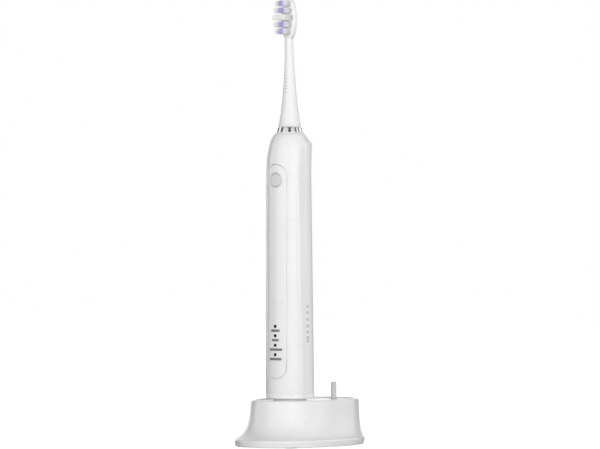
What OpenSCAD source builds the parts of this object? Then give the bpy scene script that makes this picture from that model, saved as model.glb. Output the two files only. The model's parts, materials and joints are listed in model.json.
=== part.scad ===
// Sonic toothbrush standing on its charging base.
// Millimetres, +Z up, the front of the handle faces -Y.
// The origin is the centre of the base's underside, level with its feet.

/* [Charging base] */
// Height of the base, from the table to the rim of its tray
base_h = 29; // [26:0.5:36]
// Width of the base at its foot, along X
base_w = 64.6; // [60:0.5:80]
// Length of the base at its foot, along Y
base_l = 97.6; // [92:0.5:118]
// Width of the tray on top, along X
tray_w = 52; // [48:0.5:60]
// Length of the tray on top, along Y
tray_l = 82; // [76:0.5:90]
// How far the middle of the tray lies behind the middle of the foot
tray_shift = 5.3; // [3:0.1:7]
// Height of the upright lip round the foot
lip_h = 4.5; // [4:0.25:7]
// Wall thickness of the base shell
base_wall = 2.2; // [1.6:0.1:3]
// Depth of the tray below its rim
tray_depth = 0.7; // [0.4:0.1:1.2]
// Thickness of the plate that closes the underside
plate_t = 2; // [1.6:0.1:3]
// How far the feet stand out below the plate
foot_proud = 0.5; // [0.3:0.1:1]
// Height of the round seat under the handle, above the rim
seat_rise = 0.8; // [0.4:0.1:2]
// Place of the handle and its charging post, ahead of the middle
handle_forward = 10.5; // [8:0.5:14]

/* [Charging post and coil] */
// Radius of the post that enters the handle
post_r = 4; // [3.6:0.1:4.8]
// Height of the post above the seat
post_h = 13; // [10:0.5:15]
// Wall thickness of the post
post_wall = 1.2; // [0.8:0.1:1.5]
// Outer radius of the primary winding
primary_r = 8.4; // [7:0.2:9.5]

/* [Spare head peg] */
// Radius of the peg
peg_r = 1.8; // [1.5:0.05:2.2]
// Height of the peg above the tray floor
peg_h = 10.6; // [8:0.2:14]
// Place of the peg behind the middle of the base
peg_back = 34.6; // [32:0.2:37]

/* [Cord inlet] */
// Radius of the hole for the cord
cord_bore_r = 1.9; // [1.5:0.05:2.4]
// Outer radius of the gland
gland_r = 3.6; // [3.2:0.1:4.2]
// Height of the cord inlet above the table
gland_z = 12; // [11:0.5:14]

/* [Handle] */
// Length of the handle, from its cap to the top of its shoulder
handle_len = 165.8; // [160:0.2:200]
// Radius of the rounded front
front_r = 14.9; // [14.6:0.1:17]
// Radius of the flat top, where the collar sits
top_r = 9; // [8.8:0.1:10]
// Height of the front shoulder below the top
shoulder_h = 36.8; // [30:0.2:42]
// Half width between the flattened sides, at the cap
side_low = 14.25; // [14:0.05:16]
// Half width between the flattened sides, at the top
side_high = 12.7; // [12.7:0.05:14]
// Radius of the rounded back, at the cap
back_low_r = 14.35; // [14:0.05:16]
// Radius of the rounded back, below the shoulder
back_high_r = 13.05; // [13:0.05:14]
// How far the back's axis lies behind the handle's axis, at the cap
back_shift = 1.9; // [1:0.1:2.5]
// Thickness of the rear cover
cover_t = 1.5; // [1.2:0.1:1.7]
// Height of the rear cover's top edge below the top
cover_drop = 5.8; // [5:0.2:10]
// Thickness of the bottom cap's rim
cap_h = 3; // [2.5:0.1:5]
// Gap of the seam between the cap and the shell
seam = 0.25; // [0.1:0.05:0.4]
// Radius of the handle's bore at its mouth
bore_low_r = 11.9; // [11.7:0.05:12]
// Radius of the handle's bore at its end
bore_high_r = 11; // [10.9:0.05:11.2]

/* [Front panel] */
// Half width of the panel
panel_half_w = 7.4; // [6.4:0.1:8.4]
// Lower end of the panel above the cap's underside
panel_low = 13; // [12:0.5:22]
// Upper end of the panel below the top of the handle
panel_drop = 19.8; // [18:0.2:26]
// Corner radius at the panel's lower end
panel_corner = 6; // [2:0.5:6]
// Thickness of the panel
panel_t = 1.1; // [0.8:0.1:1.3]
// Radius of the power button
button_r = 4; // [3.4:0.1:4.6]
// Width of the ring round the button
bezel_w = 0.7; // [0.5:0.1:1.2]
// Place of the button below the top of the handle
button_drop = 29.4; // [27:0.1:34]
// Travel of the button
button_travel = 0.4; // [0.2:0.05:0.5]
// Height of the lowest indicator above the cap's underside
lens_low = 27.6; // [26:0.1:34]
// Spacing of the indicators
lens_pitch = 5.9; // [5:0.1:7]
// Radius of an indicator lens
lens_r = 1; // [0.7:0.05:1.3]

/* [Inside the handle] */
// Radius of the battery cell
battery_r = 7; // [6.5:0.1:7.2]
// Length of the battery cell
battery_len = 50; // [44:0.5:52]
// Radius of the motor
motor_r = 8; // [7.2:0.1:8.1]
// Length of the motor
motor_len = 44; // [38:0.5:46]
// Radius of the drive shaft
shaft_r = 1.75; // [1.5:0.05:2]
// Thickness of the circuit board
board_t = 1; // [0.8:0.1:1.2]

/* [Brush head] */
// Length of the brush head
head_len = 80.2; // [74:0.2:90]
// Radius of the head where it meets the collar
head_foot_r = 7.25; // [6.8:0.05:7.4]
// Radius of the neck at its thinnest
neck_r = 2.7; // [2.5:0.1:3.2]
// Half width of the tufted end
plate_half_w = 5.6; // [4.8:0.1:6.5]
// Length of the tufted end
plate_len = 26.2; // [25.6:0.2:30]
// Thickness of the tufted end
plate_depth = 4.5; // [3.4:0.1:4.8]
// Length of the bristles
bristle_len = 9.5; // [7:0.5:11]
// Gap between the collar and the brush head
head_gap = 0.3; // [0.25:0.05:0.8]

/* [Hidden] */

$fn = 64;
eps = 0.01;          // overlap of a cutter with the face it opens
big = 400;           // longer than the whole object
close_gap = 0.05;    // radial clearance of a running fit
part_gap = 0.15;     // clearance of a loose fit inside a casing

// Base outline: a superellipse, so the ends are fuller than an ellipse's
oval_power = 2.25;
oval_sides = 48;
flare_draft = 0.2;   // share of the flare that is a straight slope
flare_power = 4;     // the rest curls outwards towards the lip
flare_rings = 9;
rim_r = 1.4;         // rounding of the rim and of the lip
plate_z = foot_proud;
inside_z = plate_z + plate_t;
tray_z = base_h - tray_depth;
ceiling_z = tray_z - base_wall;
seat_z = base_h + seat_rise;
seat_r = front_r - 4.4;
handle_y = -handle_forward;

core_r = post_r - post_wall - part_gap;
pedestal_z = inside_z + 2.4;
flange_t = 1.2;
bobbin_top = ceiling_z - flange_t - 0.5;
screw_r = 1.3;
screw_head_r = 2.6;
screw_head_t = 1.4;
boss_r = 3;
plate_screws = [[-13, -22], [13, -22], [-14, 22], [14, 22]];
foot_places = [[-17, -31], [17, -31], [-16, 32], [16, 32]];
foot_r = 4.4;
foot_t = 1.4;
board_w = 20;
board_from_y = 4;
board_to_y = 36;
board_z = inside_z + 4.4;
base_board_t = 1.6;

// Handle, in its own frame: z from the underside of the cap, y from the shaft
shell_z = cap_h + seam;
back_lean_top = 0.6; // how far the back's axis lies behind the handle's axis, at the top
back_tilt = atan((back_shift - back_lean_top) / handle_len);
back_swell = 0.45;   // the back widens again below the shoulder
bore_y = -0.5;
bore_end = handle_len - 17.8;
shoulder_power_z = 3.4;
shoulder_power_r = 1.45;
shoulder_rings = 12;
cover_top = handle_len - cover_drop;
split_y = -1;
ledge = 0.35;        // how far the rear cover stands proud of the shoulder
panel_inset = 0.15;
pocket_depth = panel_t + panel_inset + close_gap;
panel_groove = 0.25;
panel_top = handle_len - panel_drop;
button_z = handle_len - button_drop;
button_gap = 0.25;
button_head_t = 1.4;
stem_r = 1.8;
lens_places = [for (i = [0:3]) lens_low + lens_pitch * i];

well_wall = 1.1;
well_gap = 0.5;
well_r = post_r + well_gap;
well_top = post_h + 2.6;
spigot_top = cap_h + 6;
spigot_wall = 2.3;
spigot_r = bore_low_r - 0.2;
seal_groove_r = spigot_r - 1.35;
seal_r = (bore_low_r - 0.08 - seal_groove_r) / 2;
seal_z = cap_h + 3;
receiver_r = 8.2;

chassis_r = bore_high_r - 0.3;
chassis_low = well_top + well_wall + 1.3;
chassis_top = handle_len - 19.8;
board_back = -(motor_r + 0.5);
board_half_w = 5.9;
battery_y = bore_y + 3.5;
battery_low = chassis_low + 3;
battery_top = battery_low + battery_len;
tab_t = 0.3;
motor_top = handle_len - 29.8;
motor_low = motor_top - motor_len;
motor_wall = 0.8;
motor_cover_t = 2;
bearing_r = 3.4;
bearing_len = 4;
rotor_half = 2.6;
magnet_t = 1.2;
magnet_w = 4.2;
stator_gap = 0.5;
rotor_reach = sqrt(pow(rotor_half + magnet_t, 2) + pow(magnet_w / 2, 2));
stator_in_r = rotor_reach + stator_gap;
stator_out_r = motor_r - motor_wall - close_gap;
stator_low = motor_low + 10;
stator_len = motor_len - 20;
shaft_low = motor_low + 0.4;
neck_bore_r = 6.2;
ring_r = top_r - 0.4;
seat_ring_t = 0.6;
collar_r = ring_r - 0.3;
collar_t = 3.1;
head_low = handle_len + seat_ring_t + collar_t + head_gap;
shaft_grip = 18;
shaft_top = head_low + shaft_grip;
switch_half = 3;
switch_t = 1.4;
plunger_r = 1.2;
plunger_out = 0.6;
switch_front = board_back - board_t - switch_t;

// Brush head, z from its own foot
ring_h = 1.4;
clip_r = shaft_r + close_gap + 0.8;
clip_low = 3;
clip_len = 11;
plate_front = -2.7;
plate_mid = head_len - plate_len / 2;
tuft_rows = 5;
tuft_pitch_z = 4.35;
tuft_h = 3.1;
tuft_w = 1.5;
tuft_pitch_x = 1.85;
tuft_margin = 0.9;   // plate left clear outside the field of tufts
tuft_rise = 1.1;     // how far the field lies above the middle of the plate
section_t = 0.02;    // thickness of a slice that a hull joins
neck_end = plate_mid - plate_len * 0.35;

module at_handle() translate([0, handle_y, seat_z]) children();
module at_head() at_handle() translate([0, 0, head_low]) children();

// Circular tube standing on z = 0
module tube(r_out, r_in, h) {
    difference() {
        cylinder(r = r_out, h = h);
        translate([0, 0, -1]) cylinder(r = r_in, h = h + 2);
    }
}

// Round bar along +Y, from y0 to y1
module bar_y(r, y0, y1) translate([0, y1, 0]) rotate([90, 0, 0]) cylinder(r = r, h = y1 - y0);

// Closed solid through rings of equal length, lowest ring first
module loft(rings) {
    n = len(rings[0]);
    m = len(rings);
    walls = [
        for (k = [0:m - 2], i = [0:n - 1], half = [0, 1])
            let (j = (i + 1) % n, a = k * n + i, b = k * n + j)
                half == 0 ? [a, a + n, b + n] : [a, b + n, b]
    ];
    lid = [for (i = [0:n - 1]) m * n - 1 - i];
    polyhedron(
        points = [for (ring = rings) each ring],
        faces = concat([[for (i = [0:n - 1]) i]], walls, [lid])
    );
}

// ---- charging base ----

function signed_pow(v, p) = sign(v) * pow(abs(v), p);

// Outline of the base: half width a, half length b, middle at y = shift
function oval(a, b, shift = 0) = [
    for (i = [0:oval_sides - 1])
        let (t = 360 * i / oval_sides)
            [a * signed_pow(cos(t), 2 / oval_power), shift + b * signed_pow(sin(t), 2 / oval_power)]
];

// Share of the flare at height z: 1 at the lip, 0 at the rim
function flare(z) =
    let (u = min(1, max(0, (base_h - z) / (base_h - lip_h))))
        flare_draft * u + (1 - flare_draft) * pow(u, flare_power);

// Ring of the base's side at height z, moved inwards by inset
function side_ring(z, inset = 0) =
    let (f = flare(z))
        [for (p = oval(
                tray_w / 2 + (base_w - tray_w) / 2 * f - inset,
                tray_l / 2 + (base_l - tray_l) / 2 * f - inset,
                tray_shift * (1 - f)))
            [p[0], p[1], z]];

// Heights from the lip to the rim, closer together where the flare curls
function side_heights(z0, z1, n) = [for (i = [0:n]) z0 + (z1 - z0) * pow(i / n, 1.5)];

module base_form() {
    low = plate_z - 0.1;
    loft(concat(
        [side_ring(low, 0.5), side_ring(low + 0.5, 0.1), side_ring(low + 1.1)],
        [for (z = side_heights(lip_h, base_h - rim_r, flare_rings)) side_ring(z)],
        [for (t = [30, 60, 90])
            side_ring(base_h - rim_r * (1 - sin(t)), rim_r * (1 - cos(t)))]
    ));
}

module base_hollow() {
    loft([for (z = concat([0, lip_h], side_heights(lip_h + 1, ceiling_z, 5)))
        side_ring(z, base_wall)]);
}

module flat_oval(inset, h) {
    linear_extrude(h) polygon(oval(base_w / 2 - inset, base_l / 2 - inset));
}

module base_shell() color("white") difference() {
    union() {
        difference() {
            base_form();
            translate([0, 0, tray_z]) linear_extrude(base_h)
                polygon(oval(tray_w / 2 - 2.6, tray_l / 2 - 2.6, tray_shift));
            base_hollow();
        }
        translate([0, handle_y, tray_z - 1]) cylinder(r = seat_r, h = seat_z - tray_z + 1);
        for (p = plate_screws)
            translate([p[0], p[1], inside_z + close_gap])
                cylinder(r = boss_r, h = ceiling_z - inside_z + 0.5);
    }
    translate([0, handle_y, 0]) cylinder(r = post_r + close_gap, h = big);
    translate([0, peg_back, 0]) cylinder(r = peg_r * 0.7 + close_gap, h = big);
    translate([0, 0, gland_z]) bar_y(gland_r + close_gap, base_l / 4, base_l);
    for (p = plate_screws)
        translate([p[0], p[1], 0]) cylinder(r = screw_r + close_gap, h = inside_z + 9);
}

module base_plate() color("gainsboro") difference() {
    union() {
        translate([0, 0, plate_z]) flat_oval(base_wall + part_gap, plate_t);
        translate([0, handle_y, inside_z - 1]) cylinder(r = primary_r + 0.6, h = pedestal_z - inside_z + 1);
        for (x = [-1, 1], y = [board_from_y + 4, board_to_y - 4])
            translate([x * (board_w / 2 - 3), y, inside_z - 1])
                cylinder(r = 2, h = board_z - inside_z + 1);
    }
    for (p = plate_screws) translate([p[0], p[1], 0]) {
        cylinder(r = screw_r + part_gap, h = big);
        cylinder(r = screw_head_r + part_gap, h = plate_z + screw_head_t);
    }
    for (p = foot_places)
        translate([p[0], p[1], 0]) cylinder(r = foot_r + close_gap, h = foot_t);
}

module base_feet() color("dimgray")
    for (p = foot_places) translate([p[0], p[1], 0]) cylinder(r = foot_r, h = foot_t);

module base_screws() color("silver")
    for (p = plate_screws) translate([p[0], p[1], plate_z + 0.2]) difference() {
        union() {
            cylinder(r = screw_head_r, h = screw_head_t - 0.2);
            cylinder(r = screw_r, h = 9);
        }
        for (turn = [0, 90]) rotate(turn) cube([3, 0.6, 1.2], center = true);
    }

module charging_post() color("white") translate([0, handle_y, 0]) difference() {
    union() {
        translate([0, 0, ceiling_z - flange_t]) cylinder(r = post_r + 2, h = flange_t);
        translate([0, 0, ceiling_z - eps]) cylinder(r = post_r, h = seat_z + post_h - 0.6 - ceiling_z);
        translate([0, 0, seat_z + post_h - 0.7]) cylinder(r1 = post_r, r2 = post_r - 0.7, h = 0.7);
    }
    cylinder(r = post_r - post_wall, h = seat_z + post_h - post_wall);
}

module primary_core() color("darkslategray") translate([0, handle_y, pedestal_z])
    cylinder(r = core_r, h = seat_z + post_h - post_wall - 0.3 - pedestal_z);

module primary_bobbin() color("ivory") translate([0, handle_y, pedestal_z]) {
    h = bobbin_top - pedestal_z;
    difference() {
        union() {
            cylinder(r = core_r + 1, h = h);
            cylinder(r = primary_r + 0.4, h = flange_t);
            translate([0, 0, h - flange_t]) cylinder(r = primary_r + 0.4, h = flange_t);
        }
        translate([0, 0, -1]) cylinder(r = core_r + close_gap, h = h + 2);
    }
}

module primary_coil() color("peru")
    translate([0, handle_y, pedestal_z + flange_t + close_gap])
        tube(primary_r, core_r + 1 + close_gap,
            bobbin_top - pedestal_z - 2 * (flange_t + close_gap));

module charger_board() color("seagreen") difference() {
    translate([-board_w / 2, board_from_y, board_z])
        cube([board_w, board_to_y - board_from_y, base_board_t]);
    for (x = [-1, 1], y = [board_from_y + 4, board_to_y - 4])
        translate([x * (board_w / 2 - 3), y, 0]) cylinder(r = 1, h = big);
}

module on_charger_board(x, y) translate([x, y, board_z + base_board_t]) children();

module charger_transformer() color("khaki") on_charger_board(0, 15) {
    translate([-6, -4.5, 0]) cube([12, 9, 2]);
    translate([-4.5, -3, 2]) cube([9, 6, 5]);
    translate([-6, -4.5, 7]) cube([12, 9, 2]);
}

module charger_capacitors() color("midnightblue")
    for (x = [-5, 5]) on_charger_board(x, 26) cylinder(r = 3.6, h = 10);

module charger_chips() color("black") {
    on_charger_board(-3.5, 31.2) translate([-2.5, 0, 0]) cube([5, 4, 1.5]);
    on_charger_board(3.5, 31.2) translate([-2, 0, 0]) cube([4, 3, 1.2]);
}

module cord_gland() color("gainsboro") {
    inside_y = base_l / 2 - 8.2;
    translate([0, 0, gland_z]) difference() {
        union() {
            bar_y(gland_r, inside_y, base_l / 2 - 0.3);
            bar_y(gland_r + 1.4, inside_y, inside_y + 1.6);
        }
        bar_y(cord_bore_r, inside_y - 1, base_l / 2 + 1);
    }
}

module head_peg() color("lightgray") translate([0, peg_back, 0]) {
    translate([0, 0, tray_z]) cylinder(r = peg_r, h = peg_h - 0.5);
    translate([0, 0, tray_z + peg_h - 0.5]) cylinder(r1 = peg_r, r2 = peg_r - 0.5, h = 0.5);
    translate([0, 0, ceiling_z - 1]) cylinder(r = peg_r * 0.7, h = tray_z - ceiling_z + 1 + eps);
}

// ---- handle casing ----

// Radius of the front at height z: upright, then a rounded shoulder
function front_radius(z) =
    let (s = max(0, (z - handle_len + shoulder_h) / shoulder_h))
        top_r + (front_r - top_r)
            * pow(max(0, 1 - pow(s, shoulder_power_z)), 1 / shoulder_power_r);

function shoulder_heights() = [
    for (i = [0:shoulder_rings]) handle_len - shoulder_h * pow(1 - i / shoulder_rings, 1.4)
];

module front_form(inset = 0) rotate_extrude($fn = 96) polygon(concat(
    [[0, 0], [front_r - inset - 0.4, 0], [front_r - inset, 0.4]],
    [for (z = shoulder_heights()) [front_radius(z) - inset, z]],
    [[0, handle_len]]
));

// Turned form of the back, on an axis that leans forwards towards the top
module rear_form(inset = 0) rotate([back_tilt, 0, 0]) translate([0, back_shift, -1])
    rotate_extrude($fn = 96) polygon([
        [0, 0],
        [back_low_r - inset, 0],
        [back_high_r - inset, cover_top - 18],
        [back_high_r + back_swell - inset, cover_top + 1],
        [0, cover_top + 1]
    ]);

// Sloping shoulder above the rear cover's top edge
module rear_shoulder() intersection() {
    translate([0, back_lean_top, cover_top])
        cylinder(r1 = back_high_r + back_swell - ledge, r2 = top_r - 0.3, h = cover_drop);
    behind(split_y);
}

module side_flats() rotate([90, 0, 0]) translate([0, 0, -big / 2]) linear_extrude(big)
    polygon([[-side_low, 0], [side_low, 0], [side_high, handle_len], [-side_high, handle_len]]);

module slab(z0, z1) translate([-big / 2, -big / 2, z0]) cube([big, big, z1 - z0]);
module ahead_of(y) translate([-big / 2, y - big, -1]) cube([big, big, big]);
module behind(y) translate([-big / 2, y, -1]) cube([big, big, big]);

// Front outline of the panel: round at the top, rounded corners at the bottom
module panel_outline(grow = 0) {
    w = panel_half_w + grow;
    c = panel_corner + grow;
    low = panel_low - grow;
    arc_z = panel_top - panel_half_w;
    polygon(concat(
        [for (t = [0:7.5:180]) [w * cos(t), arc_z + w * sin(t)]],
        [for (t = [180:11.25:270]) [-w + c + c * cos(t), low + c + c * sin(t)]],
        [for (t = [270:11.25:360]) [w - c + c * cos(t), low + c + c * sin(t)]]
    ));
}

module panel_prism(grow = 0) rotate([90, 0, 0]) linear_extrude(big) panel_outline(grow);

module handle_shell() color("white") at_handle() difference() {
    intersection() {
        union() {
            intersection() {
                front_form();
                side_flats();
                ahead_of(split_y);
            }
            intersection() {
                rear_form(cover_t);
                slab(0, cover_top + ledge);
            }
            rear_shoulder();
        }
        slab(shell_z, big);
    }
    translate([0, bore_y, shell_z - 1])
        cylinder(r1 = bore_low_r, r2 = bore_high_r, h = bore_end - shell_z + 1);
    cylinder(r = neck_bore_r, h = big);
    difference() {
        panel_prism(panel_groove);
        front_form(pocket_depth);
    }
    translate([0, 0, button_z]) {
        bar_y(button_r + button_gap, -big, -front_r + pocket_depth + button_travel + button_head_t / 2);
        bar_y(stem_r + close_gap, -big, -bore_high_r / 2);
    }
    for (z = lens_places)
        translate([0, 0, z]) bar_y(lens_r + close_gap, -big, -bore_high_r / 2);
}

module rear_cover() color("whitesmoke") at_handle() intersection() {
    difference() {
        rear_form();
        rear_form(cover_t);
    }
    behind(split_y);
    slab(shell_z, cover_top);
}

module front_panel() color("whitesmoke") at_handle() difference() {
    intersection() {
        panel_prism();
        front_form(panel_inset);
    }
    front_form(panel_inset + panel_t);
    translate([0, 0, button_z]) bar_y(button_r + button_gap + bezel_w + close_gap, -big, 0);
    for (z = lens_places) translate([0, 0, z]) bar_y(lens_r + close_gap, -big, 0);
}

module button_bezel() color("gainsboro") at_handle() intersection() {
    front_form(close_gap);
    translate([0, 0, button_z]) difference() {
        bar_y(button_r + button_gap + bezel_w, -big, -front_r + pocket_depth - close_gap);
        bar_y(button_r + button_gap, -big, 0);
    }
    front_ring();
}

// Everything in front of the pocket's curved floor
module front_ring() difference() {
    ahead_of(0);
    front_form(pocket_depth - close_gap);
}

module power_button() color("white") at_handle() {
    back = -front_r + pocket_depth + button_head_t / 2;
    intersection() {
        front_form(panel_inset);
        translate([0, 0, button_z]) bar_y(button_r, -big, back);
    }
    translate([0, 0, button_z]) bar_y(stem_r, back - 0.5, switch_front - plunger_out - close_gap);
}

module switch_plunger() color("dimgray") at_handle() translate([0, 0, button_z])
    bar_y(plunger_r, switch_front - plunger_out, switch_front + switch_t - button_travel - 0.3);

module switch_body() color("black") at_handle() translate([0, 0, button_z]) difference() {
    translate([-switch_half, switch_front, -switch_half])
        cube([2 * switch_half, switch_t, 2 * switch_half]);
    bar_y(plunger_r + close_gap, switch_front - 1, switch_front + switch_t - 0.2);
}

module indicator_lenses() color("dimgray") at_handle()
    for (z = lens_places) intersection() {
        front_form(panel_inset - 0.1);
        translate([0, 0, z]) bar_y(lens_r, -big, board_back - board_t - 0.9);
    }

module indicator_leds() color("ivory") at_handle()
    for (z = lens_places)
        translate([-0.8, board_back - board_t - 0.6, z - 0.4]) cube([1.6, 0.6, 0.8]);

module seat_ring() color("white") at_handle() translate([0, 0, handle_len])
    tube(ring_r, shaft_r + 1.4, seat_ring_t);

module collar_ring() color("silver") at_handle() translate([0, 0, handle_len + seat_ring_t])
    difference() {
        cylinder(r1 = collar_r, r2 = head_foot_r + 0.2, h = collar_t);
        translate([0, 0, -1]) cylinder(r = shaft_r + 1.4, h = collar_t + 2);
    }

module neck_seal() color("dimgray") at_handle() translate([0, 0, bore_end + 2])
    tube(neck_bore_r - close_gap, shaft_r + 0.1, handle_len - bore_end - 2.2);

module bottom_cap() color("white") at_handle() difference() {
    union() {
        intersection() {
            union() {
                intersection() {
                    front_form();
                    side_flats();
                    ahead_of(split_y);
                }
                intersection() {
                    rear_form();
                    behind(split_y - eps);
                }
            }
            slab(0, cap_h);
        }
        translate([0, bore_y, cap_h - 1]) cylinder(r = spigot_r, h = spigot_top - cap_h + 1);
        translate([0, 0, cap_h - 1]) cylinder(r = well_r + well_wall, h = well_top + well_wall - cap_h + 1);
    }
    difference() {
        translate([0, bore_y, cap_h]) cylinder(r = spigot_r - spigot_wall, h = big);
        cylinder(r = well_r + well_wall, h = well_top + well_wall);
    }
    translate([0, 0, -1]) cylinder(r = well_r, h = well_top + 1);
    translate([0, bore_y, seal_z - seal_r - close_gap])
        tube(bore_low_r + 2, seal_groove_r, 2 * (seal_r + close_gap));
}

module bottom_seal() color("black") at_handle() translate([0, bore_y, seal_z])
    rotate_extrude() translate([seal_groove_r + seal_r, 0]) circle(r = seal_r, $fn = 24);

// ---- inside the handle ----

module receiver_bobbin() color("ivory") at_handle() translate([0, 0, cap_h + close_gap]) {
    h = well_top + well_wall - cap_h - 2;
    difference() {
        union() {
            cylinder(r = well_r + well_wall + 0.8, h = h);
            cylinder(r = receiver_r + 0.3, h = 1);
            translate([0, 0, h - 1]) cylinder(r = receiver_r + 0.3, h = 1);
        }
        translate([0, 0, -1]) cylinder(r = well_r + well_wall + close_gap, h = h + 2);
    }
}

module receiver_coil() color("peru") at_handle() translate([0, 0, cap_h + 1 + 2 * close_gap])
    tube(receiver_r, well_r + well_wall + 0.8 + close_gap,
        well_top + well_wall - cap_h - 4 - 2 * close_gap);

module chassis() color("lightsteelblue") at_handle() difference() {
    translate([0, bore_y, chassis_low]) cylinder(r = chassis_r, h = chassis_top - chassis_low);
    ahead_of(board_back);
    // cell cradle, open to the back
    translate([0, battery_y, battery_low - tab_t - 0.3])
        cylinder(r = battery_r + part_gap, h = battery_len + 2 * tab_t + 0.6);
    translate([-5, battery_y, battery_low - tab_t - 0.3])
        cube([10, big, battery_len + 2 * tab_t + 0.6]);
    // room for the parts on the back of the board
    translate([-4, board_back - 1, battery_low + 3])
        cube([8, battery_y - battery_r - 1 - board_back + 1, motor_low - battery_low - 9]);
    // slots for the cell's tabs
    for (z = [battery_low - tab_t - 0.3, battery_top - 0.3])
        translate([-2.4, board_back - 1, z]) cube([4.8, battery_y - board_back + 1, tab_t + 0.6]);
    // motor cradle, open to the top
    translate([0, 0, motor_low - motor_cover_t - 2]) cylinder(r = motor_r + part_gap, h = big);
}

module battery() color("mediumseagreen") at_handle() translate([0, battery_y, battery_low]) {
    cylinder(r = battery_r, h = battery_len - 1);
    translate([0, 0, battery_len - 1]) cylinder(r1 = battery_r, r2 = battery_r - 0.8, h = 1);
}

module battery_tabs() color("silver") at_handle()
    for (z = [battery_low - tab_t, battery_top])
        translate([-2, board_back, z]) cube([4, battery_y - board_back + 3, tab_t]);

module main_board() color("seagreen") at_handle()
    translate([-board_half_w, board_back - board_t, chassis_low + 1])
        cube([2 * board_half_w, board_t, chassis_top - chassis_low - 2]);

module control_chips() color("black") at_handle()
    for (z = [battery_low + 8, battery_low + 22, battery_low + 36])
        translate([-2.5, board_back, z]) cube([5, 1.5, 5]);

module motor_case() color("silver") at_handle() difference() {
    translate([0, 0, motor_low]) cylinder(r = motor_r, h = motor_len);
    translate([0, 0, motor_low - 1]) cylinder(r = motor_r - motor_wall, h = motor_len - bearing_len + 1);
    cylinder(r = bearing_r + close_gap / 2, h = big);
    for (x = [-1, 1]) translate([x * (motor_r - 1.7), 0, motor_low - 1]) cylinder(r = 0.6, h = 5);
}

module motor_cover() color("dimgray") at_handle() translate([0, 0, motor_low - motor_cover_t]) difference() {
    union() {
        cylinder(r = motor_r, h = motor_cover_t);
        cylinder(r = motor_r - motor_wall - close_gap, h = motor_cover_t + bearing_len);
    }
    translate([0, 0, motor_cover_t]) cylinder(r = bearing_r + close_gap / 2, h = big);
    for (x = [-1, 1]) translate([x * (motor_r - 2.2), 0, -1]) cylinder(r = 0.75, h = 5);
}

module motor_screws() color("gray") at_handle()
    for (x = [-1, 1]) translate([x * (motor_r - 2.2), 0, motor_low - motor_cover_t - 0.8]) {
        cylinder(r = 1.2, h = 0.8);
        cylinder(r = 0.7, h = 4);
    }

module stator_core() color("slategray") at_handle() translate([0, 0, stator_low]) difference() {
    tube(stator_out_r, stator_in_r, stator_len);
    for (turn = [45:90:315]) rotate(turn)
        translate([stator_in_r + 0.5, -1.5, 1]) cube([10, 3, stator_len - 2]);
}

module stator_coils() color("peru") at_handle() translate([0, 0, stator_low])
    for (turn = [45:90:315]) rotate(turn)
        translate([stator_in_r + 0.5 + close_gap, -1.4, 1.1])
            cube([stator_out_r - stator_in_r - 0.8, 2.8, stator_len - 2.2]);

module front_bearing() color("tan") at_handle() translate([0, 0, motor_top - bearing_len])
    tube(bearing_r, shaft_r + close_gap, bearing_len);

module rear_bearing() color("tan") at_handle() translate([0, 0, motor_low])
    tube(bearing_r, shaft_r + close_gap, bearing_len);

module drive_shaft() color("silver") at_handle() difference() {
    union() {
        translate([0, 0, shaft_low]) cylinder(r = shaft_r, h = shaft_top - shaft_low - 0.5);
        translate([0, 0, shaft_top - 0.5]) cylinder(r1 = shaft_r, r2 = shaft_r - 0.4, h = 0.5);
    }
    // drive flat that keys the brush head
    translate([-5, shaft_r * 0.6, head_low + 3]) cube([10, 5, shaft_grip]);
}

module rotor_yoke() color("slategray") at_handle() difference() {
    translate([-rotor_half, -rotor_half, stator_low]) cube([2 * rotor_half, 2 * rotor_half, stator_len]);
    cylinder(r = shaft_r + close_gap / 2, h = big);
}

module rotor_magnets() color("lightslategray") at_handle()
    for (turn = [0:90:270]) rotate(turn)
        translate([rotor_half, -magnet_w / 2, stator_low + 1]) cube([magnet_t, magnet_w, stator_len - 2]);

// ---- brush head ----

// Radius of the neck at height z above the head's foot
function neck_radius(z) =
    let (v = min(1, z / (head_len * 0.6)))
        neck_r + (head_foot_r - neck_r) * (0.75 * pow(1 - v, 1.35) + 0.25 * pow(1 - v, 6));

function neck_profile(z0, z1, n) = [
    for (i = [0:n]) let (z = z0 + (z1 - z0) * pow(i / n, 1.3)) [neck_radius(z), z]
];

module plate_section(y, inset) {
    a = plate_half_w - inset;
    b = plate_len / 2 - inset;
    translate([0, y, plate_mid]) rotate([90, 0, 0]) linear_extrude(section_t)
        polygon([for (t = [0:11.25:348.75]) [a * cos(t), b * sin(t)]]);
}

module head_body() color("white") at_head() difference() {
    union() {
        rotate_extrude() polygon(concat(
            [[0, ring_h]],
            neck_profile(ring_h, neck_end - 3, 16),
            [[neck_r * 0.9, neck_end], [neck_r * 0.4, neck_end + 7], [0, neck_end + 7]]
        ));
        hull() {
            plate_section(plate_front, 0.3);
            plate_section(plate_front + 0.4, 0);
            plate_section(plate_front + plate_depth * 0.7, 0.1);
            plate_section(plate_front + plate_depth, 0.8);
        }
    }
    translate([0, 0, -1]) cylinder(r = shaft_r + 0.1, h = shaft_grip + 2);
    translate([0, 0, -1]) cylinder(r = clip_r + close_gap, h = clip_low + clip_len + 1);
}

module head_ring() color("whitesmoke") at_head() difference() {
    cylinder(r1 = head_foot_r, r2 = neck_radius(ring_h), h = ring_h);
    translate([0, 0, -1]) cylinder(r = clip_r + 0.6, h = ring_h + 2);
}

module shaft_clip() color("silver") at_head() translate([0, 0, clip_low]) difference() {
    cylinder(r = clip_r, h = clip_len);
    translate([0, 0, -1]) cylinder(r = shaft_r + close_gap, h = clip_len + 2);
    translate([-0.4, 0, 1]) cube([0.8, 10, clip_len]);
}

// Half width left for tufts at distance dz from the middle of the oval field
function tuft_room(dz) =
    (plate_half_w - tuft_margin) * sqrt(1 - pow(dz / (plate_len / 2 - tuft_margin), 2)) - tuft_w / 2;

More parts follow.
